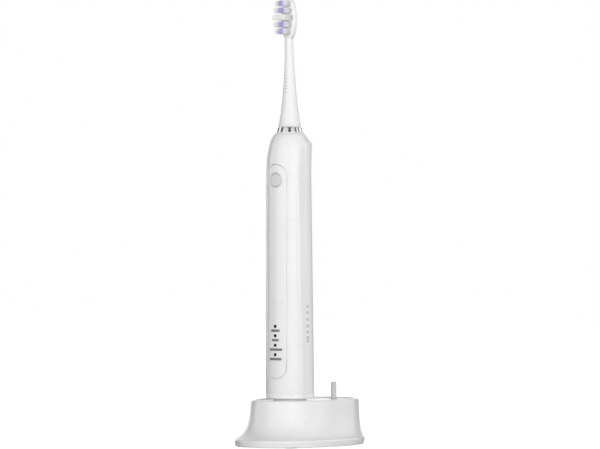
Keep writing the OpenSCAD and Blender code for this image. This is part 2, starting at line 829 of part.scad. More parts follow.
// One row of tufts; the tips follow a shallow wave from row to row
module tuft_row(row) {
    dz = (row - (tuft_rows - 1) / 2) * tuft_pitch_z;
    gaps = floor(2 * tuft_room(dz) / tuft_pitch_x);
    long = bristle_len - 0.2 * abs(row - (tuft_rows - 1) / 2);
    for (k = [0:gaps])
        translate([(k - gaps / 2) * tuft_pitch_x - tuft_w / 2, plate_front - long,
                plate_mid + tuft_rise + dz - tuft_h / 2])
            cube([tuft_w, long - section_t, tuft_h]);
}

module bristles_white() color("ivory") at_head() tuft_row(2);

module bristles_violet() color("mediumpurple") at_head() for (row = [0, 1, 3, 4]) tuft_row(row);

base_shell();
base_plate();
base_feet();
base_screws();
charging_post();
primary_bobbin();
primary_coil();
primary_core();
charger_board();
charger_transformer();
charger_capacitors();
charger_chips();
cord_gland();
head_peg();
handle_shell();
rear_cover();
front_panel();
button_bezel();
indicator_lenses();
seat_ring();
collar_ring();
neck_seal();
bottom_cap();
bottom_seal();
receiver_bobbin();
receiver_coil();
chassis();
battery();
battery_tabs();
main_board();
switch_body();
indicator_leds();
control_chips();
motor_case();
motor_cover();
motor_screws();
stator_core();
stator_coils();
front_bearing();
rear_bearing();
drive_shaft();
rotor_yoke();
rotor_magnets();
power_button();
switch_plunger();
head_body();
head_ring();
shaft_clip();
bristles_white();
bristles_violet();
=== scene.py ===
# A sonic toothbrush standing on its charging base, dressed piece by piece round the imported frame.
# Shape functions work in millimetres, in the row's frame; build_piece turns them into metres.
import json
import math

import bmesh
import bpy
import numpy as np
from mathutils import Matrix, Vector


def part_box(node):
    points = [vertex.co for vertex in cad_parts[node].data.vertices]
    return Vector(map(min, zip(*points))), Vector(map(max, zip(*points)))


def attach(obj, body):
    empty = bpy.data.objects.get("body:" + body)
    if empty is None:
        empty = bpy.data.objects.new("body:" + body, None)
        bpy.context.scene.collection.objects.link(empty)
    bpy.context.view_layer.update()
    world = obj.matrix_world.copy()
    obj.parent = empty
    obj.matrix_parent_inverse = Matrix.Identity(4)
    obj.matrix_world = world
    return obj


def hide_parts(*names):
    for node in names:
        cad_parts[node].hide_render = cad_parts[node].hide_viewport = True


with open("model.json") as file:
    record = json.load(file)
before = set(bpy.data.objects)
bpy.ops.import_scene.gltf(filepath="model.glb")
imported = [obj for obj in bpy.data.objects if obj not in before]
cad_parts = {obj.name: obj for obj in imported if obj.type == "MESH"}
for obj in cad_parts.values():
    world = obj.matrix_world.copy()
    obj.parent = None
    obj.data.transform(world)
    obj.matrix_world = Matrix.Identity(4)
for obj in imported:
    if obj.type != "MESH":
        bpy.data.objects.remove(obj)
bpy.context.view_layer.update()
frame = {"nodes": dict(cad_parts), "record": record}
nodes = frame["nodes"]

# ---- camera, floor and light ----
# The maker's table: a long lens level with the handle and a pale sheet under the base. One broad
# soft lamp stands near the camera inside a white tent that is bright at eye level, dim overhead
# and has dark slits between its sheets.

MM = 0.001
VIEW_AZIMUTH = math.radians(38)
VIEW_ELEVATION = math.radians(0.25)
VIEW_DISTANCE = 3.0
FRAME_WIDTH = 0.3764
AIM_HEIGHT = 0.1385
SENSOR_MM = 36.0


def towards(azimuth, elevation):
    """Unit vector from the object towards a viewer at that azimuth and elevation, in radians."""
    return np.array([
        math.sin(azimuth) * math.cos(elevation),
        -math.cos(azimuth) * math.cos(elevation),
        math.sin(elevation),
    ])


def look_at(obj, place, target):
    """Puts an object at place with its -Z axis pointing at target and its +Y axis upwards."""
    obj.location = Vector(place)
    obj.rotation_euler = (Vector(target) - Vector(place)).to_track_quat("-Z", "Y").to_euler()


aim = np.array([0.0, 0.0, AIM_HEIGHT])
camera_data = bpy.data.cameras.new("table_camera")
camera_data.sensor_width = SENSOR_MM
camera_data.lens = SENSOR_MM * VIEW_DISTANCE / FRAME_WIDTH
camera_data.clip_end = 50
camera = bpy.data.objects.new("table_camera", camera_data)
bpy.context.scene.collection.objects.link(camera)
look_at(camera, aim + VIEW_DISTANCE * towards(VIEW_AZIMUTH, VIEW_ELEVATION), aim)
bpy.context.scene.camera = camera
bpy.context.scene.view_settings.view_transform = "Standard"


def add_softbox(name, azimuth, elevation, distance, width, height, power):
    """A rectangular white lamp that hangs at distance from the handle, faces it and stays out of
    reflections."""
    data = bpy.data.lights.new(name, "AREA")
    data.shape = "RECTANGLE"
    data.size = width
    data.size_y = height
    data.energy = power
    lamp = bpy.data.objects.new(name, data)
    bpy.context.scene.collection.objects.link(lamp)
    look_at(lamp, aim + distance * towards(math.radians(azimuth), math.radians(elevation)), aim)
    lamp.visible_glossy = False


def new_node(tree, kind, inputs=(), **settings):
    """A node with some of its inputs set by name or number, and some of its own settings."""
    node = tree.nodes.new(kind)
    for key, value in settings.items():
        setattr(node, key, value)
    for key, value in dict(inputs).items():
        node.inputs[key].default_value = value
    return node


def add_mix(tree, first, second, mode="MIX", share=None):
    """Mixes two colours by a share, or wholly by the mode."""
    mix = new_node(tree, "ShaderNodeMix", {"Factor": 1.0}, data_type="RGBA", blend_type=mode)
    if share is not None:
        tree.links.new(share, mix.inputs["Factor"])
    tree.links.new(first, mix.inputs[6])
    tree.links.new(second, mix.inputs[7])
    return mix.outputs[2]


def add_ramp(tree, factor, stops, mode="LINEAR"):
    """A colour ramp through (place, colour) stops, given in rising order of place."""
    ramp = tree.nodes.new("ShaderNodeValToRGB")
    ramp.color_ramp.interpolation = mode
    elements = ramp.color_ramp.elements
    elements[0].position = stops[0][0]
    elements[-1].position = stops[-1][0]
    for position, _ in stops[1:-1]:
        elements.new(position)
    for element, (_, colour) in zip(elements, stops):
        element.color = (*colour, 1)
    tree.links.new(factor, ramp.inputs["Fac"])
    return ramp.outputs["Color"]


add_softbox("key_softbox", 47, 6, 3.6, 2.6, 2.4, 106)
add_softbox("back_softbox", 218, 30, 3.6, 2.4, 1.6, 10)

# Tent brightness by height, from straight down to straight up, and its dark slits as the angle of
# their middle from the camera and their half width, in degrees.
SURROUND = 1.6
SKY = [
    (0.0, 0.45), (0.45, 0.8), (0.5, 1.0), (0.6, 0.9), (0.7, 0.72), (0.8, 0.48), (0.87, 0.12),
    (1.0, 0.04)]
DARK_CARDS = [(-132, 15), (-80, 13), (-1, 12), (60, 8), (97, 7), (146, 12)]
CARD_TONE = 0.1
CARD_BLUR = 4
world = bpy.data.worlds.new("studio")
bpy.context.scene.world = world
world.use_nodes = True
tree = world.node_tree
tree.nodes.clear()
turned = new_node(tree, "ShaderNodeMapping", {"Rotation": (0, 0, -VIEW_AZIMUTH)})
tree.links.new(new_node(tree, "ShaderNodeTexCoord").outputs["Generated"], turned.inputs["Vector"])
way = new_node(tree, "ShaderNodeSeparateXYZ")
tree.links.new(turned.outputs["Vector"], way.inputs["Vector"])
forward = new_node(tree, "ShaderNodeMath", {1: -1.0}, operation="MULTIPLY")
tree.links.new(way.outputs["Y"], forward.inputs[0])
around = new_node(tree, "ShaderNodeMath", operation="ARCTAN2")
tree.links.new(way.outputs["X"], around.inputs[0])
tree.links.new(forward.outputs["Value"], around.inputs[1])
turn = new_node(tree, "ShaderNodeMapRange", {"From Min": -math.pi, "From Max": math.pi})
tree.links.new(around.outputs["Value"], turn.inputs["Value"])
lift = new_node(tree, "ShaderNodeMapRange", {"From Min": -1.0})
tree.links.new(way.outputs["Z"], lift.inputs["Value"])
card_stops = [
    ((middle + side * half) / 360 + 0.5, (tone, tone, tone))
    for middle, width in DARK_CARDS
    for side, half, tone in ((-1, width + CARD_BLUR, 1.0), (-1, width - CARD_BLUR, CARD_TONE),
                             (1, width - CARD_BLUR, CARD_TONE), (1, width + CARD_BLUR, 1.0))]
glow = add_mix(
    tree, add_ramp(tree, lift.outputs["Result"], [(place, (tone,) * 3) for place, tone in SKY]),
    add_ramp(tree, turn.outputs["Result"], card_stops), "MULTIPLY")
dim = new_node(tree, "ShaderNodeBackground", {"Strength": SURROUND})
tree.links.new(glow, dim.inputs["Color"])
backdrop = new_node(tree, "ShaderNodeBackground", {"Color": (1, 1, 1, 1), "Strength": 1.0})
choice = new_node(tree, "ShaderNodeMixShader")
tree.links.new(new_node(tree, "ShaderNodeLightPath").outputs["Is Camera Ray"], choice.inputs["Fac"])
tree.links.new(dim.outputs["Background"], choice.inputs[1])
tree.links.new(backdrop.outputs["Background"], choice.inputs[2])
tree.links.new(choice.outputs["Shader"], new_node(tree, "ShaderNodeOutputWorld").inputs["Surface"])

FLOOR_HALF = 2.5
floor_mesh = bpy.data.meshes.new("floor")
floor_mesh.from_pydata(
    [(x * FLOOR_HALF, y * FLOOR_HALF, 0) for x, y in ((-1, -1), (1, -1), (1, 1), (-1, 1))],
    [], [(0, 1, 2, 3)])
floor = bpy.data.objects.new("floor", floor_mesh)
bpy.context.scene.collection.objects.link(floor)
paper = bpy.data.materials.new("backdrop_paper")
paper.use_nodes = True
tree = paper.node_tree
sheet = tree.nodes["Principled BSDF"]
sheet.inputs["Base Color"].default_value = (0.5, 0.5, 0.5, 1)
sheet.inputs["Roughness"].default_value = 0.9
sheet_glow = new_node(tree, "ShaderNodeEmission", {"Strength": 0.88})
lit_sheet = new_node(tree, "ShaderNodeAddShader")
seen = new_node(tree, "ShaderNodeMixShader")
tree.links.new(sheet.outputs["BSDF"], lit_sheet.inputs[0])
tree.links.new(sheet_glow.outputs["Emission"], lit_sheet.inputs[1])
tree.links.new(new_node(tree, "ShaderNodeLightPath").outputs["Is Camera Ray"], seen.inputs["Fac"])
tree.links.new(sheet.outputs["BSDF"], seen.inputs[1])
tree.links.new(lit_sheet.outputs["Shader"], seen.inputs[2])
tree.links.new(seen.outputs["Shader"], tree.nodes["Material Output"].inputs["Surface"])
floor.data.materials.append(paper)

# ---- charging base shell ----
# The oval casing is one injection moulding in glossy white: an upright lip round the foot, a side
# that curls in to the rim, a shallow tray on top and a round seat for the handle.


def box_mm(node):
    """Lowest and highest corner of a CAD node, in millimetres."""
    low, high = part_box(node)
    return np.array(low) / MM, np.array(high) / MM


def grid_faces(rows, columns, wrap_rows=False, wrap_columns=False):
    """Quads of a grid of points counted row by row: each joins a point to its next neighbours."""
    i = np.arange(rows if wrap_rows else rows - 1)
    j = np.arange(columns if wrap_columns else columns - 1)
    i, j = np.meshgrid(i, j, indexing="ij")
    down, along = (i + 1) % rows, (j + 1) % columns
    here, below = i * columns, down * columns
    return np.stack([here + j, below + j, below + along, here + along], -1).reshape(-1, 4)


def outward(points, faces):
    """Turns the faces round if they enclose a negative volume, the sum of a.(b x c) over triangles."""
    a, b, c, d = (points[faces[:, k]] for k in range(4))
    volume = np.sum(a * np.cross(b, c)) + np.sum(a * np.cross(c, d))
    return faces if volume > 0 else faces[:, ::-1]


def swept(points, wrap_rows=False):
    """A closed shell from an array of points [row, column, xyz]; poles are rows drawn to a point."""
    rows, columns = points.shape[:2]
    flat = points.reshape(-1, 3)
    return flat, outward(flat, grid_faces(rows, columns, wrap_rows, True))


def build_piece(name, shells, material, body, replaces=(), sharp=35, weld=1e-8):
    """Joins closed shells, in millimetres, into one object in metres; merges doubled points at
    seams and poles, shades it smooth up to the sharp angle, and ties it to its body and slot."""
    counts = np.cumsum([0] + [len(points) for points, _ in shells])
    points = np.concatenate([points for points, _ in shells]) * MM
    faces = np.concatenate([faces + start for (_, faces), start in zip(shells, counts)])
    mesh = bpy.data.meshes.new(name)
    mesh.from_pydata(points, [], faces.tolist())
    work = bmesh.new()
    work.from_mesh(mesh)
    bmesh.ops.remove_doubles(work, verts=work.verts, dist=weld)
    bmesh.ops.dissolve_degenerate(work, edges=work.edges, dist=weld)
    work.to_mesh(mesh)
    work.free()
    mesh.validate()
    mesh.shade_smooth()
    mesh.set_sharp_from_angle(angle=math.radians(sharp))
    mesh.materials.append(material)
    piece = bpy.data.objects.new(name, mesh)
    bpy.context.scene.collection.objects.link(piece)
    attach(piece, body)
    if replaces:
        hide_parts(*replaces)


def node_material(name):
    """An empty node material with its shader, links and object coordinates."""
    material = bpy.data.materials.new(name)
    material.use_nodes = True
    tree = material.node_tree
    shader = tree.nodes["Principled BSDF"]
    place = tree.nodes.new("ShaderNodeTexCoord").outputs["Object"]
    return material, tree, shader, place


def add_noise(tree, place, scale, detail):
    """Noise on the object's own coordinates, scale in features a metre."""
    noise = new_node(
        tree, "ShaderNodeTexNoise", {"Scale": scale, "Detail": detail, "Roughness": 0.55})
    tree.links.new(place, noise.inputs["Vector"])
    return noise.outputs["Fac"]


def add_range(tree, factor, low, high):
    """Spreads a 0.3 to 0.7 noise over low to high."""
    spread = new_node(
        tree, "ShaderNodeMapRange",
        {"From Min": 0.3, "From Max": 0.7, "To Min": low, "To Max": high})
    tree.links.new(factor, spread.inputs["Value"])
    return spread.outputs["Result"]


def add_bump(tree, shader, height, strength, depth):
    """Raises the surface by a height field, depth in metres."""
    bump = new_node(tree, "ShaderNodeBump", {"Strength": strength, "Distance": depth})
    tree.links.new(height, bump.inputs["Height"])
    tree.links.new(bump.outputs["Normal"], shader.inputs["Normal"])


def shade(colour, amount):
    """A colour made lighter or darker by a factor."""
    return tuple(min(1.0, c * amount) for c in colour)


def vary(tree, shader, factor, colour, dark, light, polish=None, span=(0.3, 0.7)):
    """Colours a surface from dark to light times the colour as a noise rises over its span, and
    varies its roughness between the two values of polish."""
    tones = [(span[0], shade(colour, dark)), (span[1], shade(colour, light))]
    tree.links.new(add_ramp(tree, factor, tones), shader.inputs["Base Color"])
    if polish:
        tree.links.new(add_range(tree, factor, *polish), shader.inputs["Roughness"])


def moulded_plastic(name, colour, roughness, grain=2600, grain_depth=4e-6, coat=0.0):
    """Injection-moulded plastic: faint flow shading, a polish that varies, and mould grain."""
    material, tree, shader, place = node_material(name)
    vary(tree, shader, add_noise(tree, place, 45, 2), colour, 0.975, 1.01)
    tree.links.new(
        add_range(tree, add_noise(tree, place, 240, 4), roughness * 0.88, roughness * 1.15),
        shader.inputs["Roughness"])
    add_bump(tree, shader, add_noise(tree, place, grain, 2), 0.35, grain_depth)
    shader.inputs["IOR"].default_value = 1.46
    shader.inputs["Coat Weight"].default_value = coat
    shader.inputs["Coat Roughness"].default_value = 0.09
    return material


gloss_white = moulded_plastic("gloss_white_plastic", (0.86, 0.86, 0.868), 0.30, coat=0.25)

foot_low, foot_high = box_mm("base_shell")
feet_low, feet_high = box_mm("base_feet")
peg_low, peg_high = box_mm("head_peg")
post_low, post_high = box_mm("charging_post")
cap_low = box_mm("bottom_cap")[0]
collar_low, collar_high = box_mm("collar_ring")
axis_y = (collar_low[1] + collar_high[1]) / 2
handle_z = cap_low[2]

OVAL_POWER = 2.25
BASE_SIDES = 192
LIP_HEIGHT = 4.5
LIP_DRAFT = 0.6
BASE_WALL = 2.2
RIM_ROUND = 1.0
TRAY_HALF_W, TRAY_HALF_L, TRAY_SHIFT = 26.0, 41.0, 5.3
TRAY_DEPTH = 0.7
SEAT_RISE = 0.8
SEAT_RADIUS = 10.5
rim_z = foot_high[2] - SEAT_RISE
foot_half_w = foot_high[0]
foot_half_l = (foot_high[1] - foot_low[1]) / 2


def flare(z):
    """Share of the foot's extra width at height z: a fifth of it falls evenly from lip to rim,
    most with the fourth power and a little with the sixteenth, so the side curls out at the lip."""
    u = np.clip((rim_z - z) / (rim_z - LIP_HEIGHT), 0, 1)
    return 0.2 * u + 0.68 * u ** 4 + 0.12 * u ** 16


def oval_ring(half_w, half_l, shift, z):
    """Superellipse |x/a|^p + |y/b|^p = 1 about (0, shift), one ring for each entry of the sizes."""
    t = np.linspace(0, 2 * np.pi, BASE_SIDES, endpoint=False)
    c, s = np.cos(t), np.sin(t)
    x = np.sign(c) * np.abs(c) ** (2 / OVAL_POWER)
    y = np.sign(s) * np.abs(s) ** (2 / OVAL_POWER)
    half_w, half_l, shift, z = (np.asarray(v, float)[:, None] for v in (half_w, half_l, shift, z))
    return np.stack([half_w * x, half_l * y + shift, z + 0 * x], -1)


def side_rings(z, inset):
    """Rings of the base's side at heights z, drawn inwards by inset."""
    f = flare(z)
    return oval_ring(
        TRAY_HALF_W + (foot_half_w - TRAY_HALF_W) * f - inset,
        TRAY_HALF_L + (foot_half_l - TRAY_HALF_L) * f - inset,
        TRAY_SHIFT * (1 - f), z)


def arc(radius, start, end, count, centre=(0.0, 0.0)):
    """Points of a circular arc, angles in degrees."""
    t = np.radians(np.linspace(start, end, count))
    return np.stack([centre[0] + radius * np.cos(t), centre[1] + radius * np.sin(t)], -1)


def lathe(profile, sides=96, centre=None, closed=False):
    """Turns a profile of (radius, height) points round a vertical axis through centre."""
    profile = np.asarray(profile, float)
    centre = (0.0, axis_y) if centre is None else centre
    t = np.linspace(0, 2 * np.pi, sides, endpoint=False)
    radius, height = profile[:, :1], profile[:, 1:]
    points = np.stack([
        centre[0] + radius * np.cos(t), centre[1] + radius * np.sin(t), height + 0 * t], -1)
    return swept(points, wrap_rows=closed)


shell_foot = foot_low[2]
tray_z = rim_z - TRAY_DEPTH
rim_wall = 2.6
lip_round = arc(0.55, -90, 0, 5)
side_z = np.concatenate([
    [0.3], shell_foot + 0.55 + lip_round[:, 1],
    [LIP_HEIGHT - 1.2, LIP_HEIGHT - 0.5],
    LIP_HEIGHT + 0.15 + (rim_z - RIM_ROUND - LIP_HEIGHT - 0.15) * np.linspace(0, 1, 30) ** 1.5,
])
side_z[0] = shell_foot
side_inset = np.zeros(len(side_z))
side_inset[0] = BASE_WALL
side_inset[1:6] = LIP_DRAFT + 0.55 - lip_round[:, 0]
side_inset[6:9] = [0.2, 0.04, 0.1]
rim_turn = arc(RIM_ROUND, 10, 90, 8)
rim_z_rows = rim_z - RIM_ROUND + rim_turn[:, 1]
rim_inset = RIM_ROUND - rim_turn[:, 0]
tray_in = np.array([rim_wall - 0.45, rim_wall - 0.15, rim_wall, rim_wall + 0.1, rim_wall + 0.5])
tray_rows_z = np.array([rim_z, rim_z - 0.08, rim_z - 0.3, tray_z + 0.15, tray_z])
inner_z = np.array([shell_foot, LIP_HEIGHT, LIP_HEIGHT + 3, LIP_HEIGHT + 8, tray_z - BASE_WALL - 1])
shrink = np.array([0.9, 0.6, 0.3, 0.0])
floor_w, floor_l = TRAY_HALF_W - rim_wall - 0.5, TRAY_HALF_L - rim_wall - 0.5
base_rows = np.concatenate([
    oval_ring(shrink[::-1] * floor_w, shrink[::-1] * floor_l, np.full(4, TRAY_SHIFT),
              np.full(4, tray_z - BASE_WALL - 0.5)),
    side_rings(inner_z[::-1], np.full(5, BASE_WALL)),
    side_rings(side_z[1:], side_inset[1:]),
    side_rings(rim_z_rows, rim_inset),
    side_rings(np.full(5, rim_z), tray_in) + (tray_rows_z - rim_z)[:, None, None] * [0, 0, 1],
    oval_ring(shrink * floor_w, shrink * floor_l, np.full(4, TRAY_SHIFT), np.full(4, tray_z)),
])
seat_top = foot_high[2]
post_hole = post_high[0] - 1.9
seat_profile = np.concatenate([
    [[post_hole, tray_z - 0.5], [post_hole, seat_top - 0.3]],
    arc(0.3, 180, 90, 4, (post_hole + 0.3, seat_top - 0.3)),
    arc(0.5, 90, 0, 6, (SEAT_RADIUS - 0.5, seat_top - 0.5)),
    [[SEAT_RADIUS, tray_z + 0.3], [SEAT_RADIUS + 0.3, tray_z - 0.02],
     [SEAT_RADIUS + 0.3, tray_z - 0.5]],
])
build_piece(
    "base_casing", [swept(base_rows), lathe(seat_profile, closed=True)],
    gloss_white, "charger", ["base_shell"], sharp=50)

# ---- peg and post ----
# The peg is a plain satin pin with a domed tip and a small root fillet; the charging post is a
# thin-walled cap that covers the ferrite rod and guides the handle.

peg_grey = moulded_plastic("peg_satin_grey", (0.58, 0.58, 0.59), 0.28)
peg_radius = peg_high[0]
peg_y = (peg_low[1] + peg_high[1]) / 2
peg_profile = np.concatenate([
    [[0, tray_z - 0.4], [peg_radius + 0.6, tray_z - 0.4]],
    arc(0.6, 270, 180, 5, (peg_radius + 0.6, tray_z + 0.55)),
    [[peg_radius - 0.08, peg_high[2] - 4]],
    arc(0.7, 0, 90, 7, (peg_radius - 0.85, peg_high[2] - 0.7)),
    [[0, peg_high[2]]],
])
build_piece(
    "spare_head_pin", [lathe(peg_profile, 48, (0, peg_y))], peg_grey, "charger",
    ["head_peg"])

post_radius = post_high[0] - 2
post_profile = np.concatenate([
    [[0, post_low[2] + 1], [post_radius, post_low[2] + 1], [post_radius, post_high[2] - 2.5]],
    arc(1.3, 0, 90, 8, (post_radius - 1.3, post_high[2] - 1.3)),
    [[0, post_high[2]]],
])
build_piece(
    "charging_pin", [lathe(post_profile, 72)], gloss_white, "charger",
    ["charging_post"])

# ---- feet and cord gland ----
# Four soft feet are pressed into the closing plate; the gland is a stepped bush in the back wall.


def rubber(name, colour):
    """Moulded rubber: dull, with a fine dusty mottle."""
    material, tree, shader, place = node_material(name)
    vary(tree, shader, add_noise(tree, place, 900, 5), colour, 0.8, 1.25, (0.62, 0.85), (0.35, 0.7))
    add_bump(tree, shader, add_noise(tree, place, 3500, 3), 0.5, 8e-6)
    return material


rubber_grey = rubber("soft_grey_rubber", (0.14, 0.14, 0.145))
FOOT_RADIUS = 4.4
foot_places = [
    (side * (feet_high[0] - FOOT_RADIUS - inwards), y)
    for y, inwards in ((feet_low[1] + FOOT_RADIUS, 0), (feet_high[1] - FOOT_RADIUS, 1))
    for side in (-1, 1)]
foot_profile = np.concatenate([
    [[0, feet_high[2]], [FOOT_RADIUS, feet_high[2]]],
    arc(0.35, 0, -90, 5, (FOOT_RADIUS - 0.35, feet_low[2] + 0.35)),
    [[3.1, feet_low[2]], [2.9, feet_low[2] + 0.2], [1.2, feet_low[2] + 0.2], [1.0, feet_low[2]],
     [0, feet_low[2]]],
])
build_piece(
    "soft_feet", [lathe(foot_profile, 48, place) for place in foot_places],
    rubber_grey, "charger", ["base_feet"])

casing_grey = moulded_plastic("casing_grey_texture", (0.52, 0.52, 0.53), 0.5, 1800, 1.4e-5)
gland_low, gland_high = box_mm("cord_gland")
gland_z = (gland_low[2] + gland_high[2]) / 2
GLAND_RADIUS = 3.6
CORD_HOLE = 1.9
gland_run = gland_high[1] - gland_low[1]
gland_profile = np.array([
    [CORD_HOLE, 0], [GLAND_RADIUS + 1.4, 0], [GLAND_RADIUS + 1.4, 1.6], [GLAND_RADIUS, 1.6],
    [GLAND_RADIUS, gland_run - 0.5], [GLAND_RADIUS - 0.15, gland_run - 0.15],
    [GLAND_RADIUS - 0.5, gland_run], [CORD_HOLE + 0.7, gland_run], [CORD_HOLE + 0.25, gland_run - 0.15],
    [CORD_HOLE, gland_run - 0.6],
])
gland_points, gland_faces = lathe(gland_profile, 64, (0, 0), closed=True)
gland_points = gland_points[:, [0, 2, 1]] * [1, 1, -1] + [0, gland_low[1], gland_z]
build_piece(
    "cord_bush", [(gland_points, outward(gland_points, gland_faces))], casing_grey, "charger",
    ["cord_gland"])

# ---- handle shell ----
# The sealed handle is one thin-walled white moulding: round at the front, flattened at the sides,
# stepped in at the back for the rear cover and pocketed at the front for the panel.

shell_low, shell_high = box_mm("handle_shell")
handle_length = shell_high[2] - handle_z
FRONT_RADIUS = axis_y - cap_low[1]
TOP_RADIUS = 9.0
SHOULDER = 36.8
SIDE_LOW, SIDE_HIGH = 14.25, 12.7
BACK_LOW, BACK_HIGH, BACK_SWELL = 14.35, 13.05, 0.45
BACK_SHIFT_LOW, BACK_SHIFT_HIGH = 1.9, 0.6
COVER_THICK = 1.5
COVER_DROP = 5.8
LEDGE = 0.35
SPLIT_ANGLE = math.radians(85.8)
WINDOW_ANGLE = math.radians(36)
CREASE = 60
FLUTE_BACK = math.radians(5.4)
FLUTE_WIDTH = math.radians(3.0)
FLUTE_DEPTH = 0.2
cover_top = handle_length - COVER_DROP


def front_radius(z):
    """Radius of the rounded front: constant, then a shoulder on s^3.4 + rho^1.45 = 1."""
    s = np.clip((z - handle_length + SHOULDER) / SHOULDER, 0, 1)
    return TOP_RADIUS + (FRONT_RADIUS - TOP_RADIUS) * (1 - s ** 3.4) ** (1 / 1.45)


def side_flat(z):
    """Half width of the handle between its side flats, which lean in evenly with height."""
    return SIDE_LOW + (SIDE_HIGH - SIDE_LOW) * z / handle_length


def crease_angle(z):
    """Angle at which the round front meets the side flat, where radius times sine is the width."""
    return np.arcsin(np.clip(side_flat(z) / front_radius(z), 0, math.sin(math.radians(80))))


def front_reach(angle, z):
    """Distance from the axis to the front half: the round front cut by the side flats, with the
    crease between them rounded by adding the two inverse distances to a high power, less a shallow
    bell-shaped flute that runs down beside the crease."""
    flat = side_flat(z) / np.maximum(np.abs(np.sin(angle)), 0.05)
    whole = (front_radius(z) ** -CREASE + flat ** -CREASE) ** (-1 / CREASE)
    aside = (np.abs(angle) - crease_angle(z) + FLUTE_BACK) / FLUTE_WIDTH
    below = np.clip((handle_length - 24 - z) / 12, 0, 1)
    return whole - FLUTE_DEPTH * below * np.exp(-aside ** 2)


def front_columns(z):
    """Angles of the columns of the front half at heights z: evenly spaced over the panel's window,
    then drawn together over the flute and the crease."""
    crease = crease_angle(z)[:, None]
    line = crease - math.radians(11)
    after = crease + math.radians(3.2)
    side = np.concatenate([
        WINDOW_ANGLE + (line - WINDOW_ANGLE) * np.linspace(0, 1, 9)[1:-1],
        line + math.radians(8.0) * np.linspace(0, 1, 15)[:-1],
        crease + math.radians(3.0) * np.linspace(-1, 1, 15)[:-1],
        after + (SPLIT_ANGLE - after) * np.linspace(0, 1, 9)], 1)
    middle = WINDOW_ANGLE * np.linspace(-1, 1, 25) + 0 * crease
    return np.concatenate([-side[:, ::-1], middle, side], 1)


def circle_reach(angle, radius, shift):
    """Distance from the axis, along an angle from the front, to a circle set back by shift."""
    back = -np.cos(angle)
    return shift * back + np.sqrt(radius ** 2 - (shift * np.sin(angle)) ** 2)


def back_reach(angle, z, inset=0.0):
    """Distance to the rounded back, whose radius and set-back change with height."""
    radius = np.interp(z, [0, cover_top - 18, cover_top], [BACK_LOW, BACK_HIGH, BACK_HIGH + BACK_SWELL])
    shift = BACK_SHIFT_LOW + (BACK_SHIFT_HIGH - BACK_SHIFT_LOW) * z / handle_length
    return circle_reach(angle, radius - inset, shift)


def shoulder_reach(angle, z):
    """Distance to the sloping shoulder above the rear cover."""
    radius = np.interp(
        z, [cover_top, handle_length], [BACK_HIGH + BACK_SWELL - LEDGE, TOP_RADIUS - 0.3])
    return circle_reach(angle, radius, BACK_SHIFT_HIGH)


def on_handle(angle, reach, z):
    """Points at a distance from the handle's axis; angle 0 is the front, a quarter turn is +X."""
    angle, reach, z = np.broadcast_arrays(angle, reach, z)
    return np.stack([reach * np.sin(angle), axis_y - reach * np.cos(angle), handle_z + z], -1)


panel_foot, panel_head = box_mm("front_panel")
PANEL_HALF = panel_head[0]
PANEL_LOW = panel_foot[2] - handle_z
PANEL_THICK = 1.1
PANEL_INSET = 0.15
PANEL_GROOVE = 0.4
PANEL_CORNER_POWER = 2.55
panel_high = panel_head[2] - handle_z
button_low, button_high = box_mm("power_button")
button_z = (button_low[2] + button_high[2]) / 2 - handle_z
button_radius = button_high[0]
BUTTON_WELL = button_radius + 0.3


def panel_edge(x, z, grow=0.0):
    """The panel's outline along the ray from its spine through (x, z): a straight side, a round
    top, and a bottom on |cos|^n + |sin|^n = 1, moved outwards by grow."""
    spine = np.clip(z, PANEL_LOW + PANEL_HALF, panel_high - PANEL_HALF)
    across, up = x, z - spine
    length = np.maximum(np.hypot(across, up), 1e-9)
    across, up = across / length, up / length
    corner = (np.abs(across) ** PANEL_CORNER_POWER + np.abs(up) ** PANEL_CORNER_POWER) ** (
        -1 / PANEL_CORNER_POWER)
    reach = PANEL_HALF * np.where(up < 0, corner, 1.0) + grow
    return across * reach, spine + up * reach


def window_loop(row0, row1, column0, column1):
    """Grid places round a rectangle of cells, as (row, column) pairs in order."""
    bottom = [(row0, c) for c in range(column0, column1)]
    right = [(r, column1) for r in range(row0, row1)]
    top = [(row1, c) for c in range(column1, column0, -1)]
    left = [(r, column0) for r in range(row1, row0, -1)]
    return np.array(bottom + right + top + left)


def bridge(loops):
    """Quads between consecutive closed loops of point numbers."""
    loops = np.asarray(loops)
    here, there = loops[:-1], loops[1:]
    return np.stack([here, there, np.roll(there, -1, 1), np.roll(here, -1, 1)], -1).reshape(-1, 4)


back_columns = np.linspace(SPLIT_ANGLE, 2 * np.pi - SPLIT_ANGLE, 50)


def handle_columns(z):
    """Angles of all columns round the handle at heights z, from the left split round the front."""
    z = np.atleast_1d(np.asarray(z, float))
    return np.concatenate([front_columns(z), back_columns + 0 * z[:, None]], 1)


front_count = front_columns(np.zeros(1)).shape[1]
column_count = front_count + len(back_columns)
is_back = np.arange(column_count) >= front_count
shell_start = shell_low[2] - handle_z
PANEL_WINDOW = (10.0, 150.0)
rows_low = np.concatenate([
    shell_start + np.array([0.0, 0.08, 0.25]),
    [PANEL_WINDOW[0] - 4], np.linspace(PANEL_WINDOW[0], 28, 19), np.linspace(28, 130, 24)[1:],
    np.linspace(130, PANEL_WINDOW[1], 21)[1:], np.linspace(PANEL_WINDOW[1], cover_top, 8)[1:],
])
edge_inset = np.zeros(len(rows_low))
edge_inset[:3] = [0.25, 0.08, 0.0]
rows_high = cover_top + (handle_length - cover_top) * np.linspace(0, 1, 9)[1:] ** 0.9
rows_high = np.concatenate([[cover_top], rows_high[:-1], [handle_length - 0.12, handle_length]])
high_inset = np.zeros(len(rows_high))
high_inset[-1] = 0.25

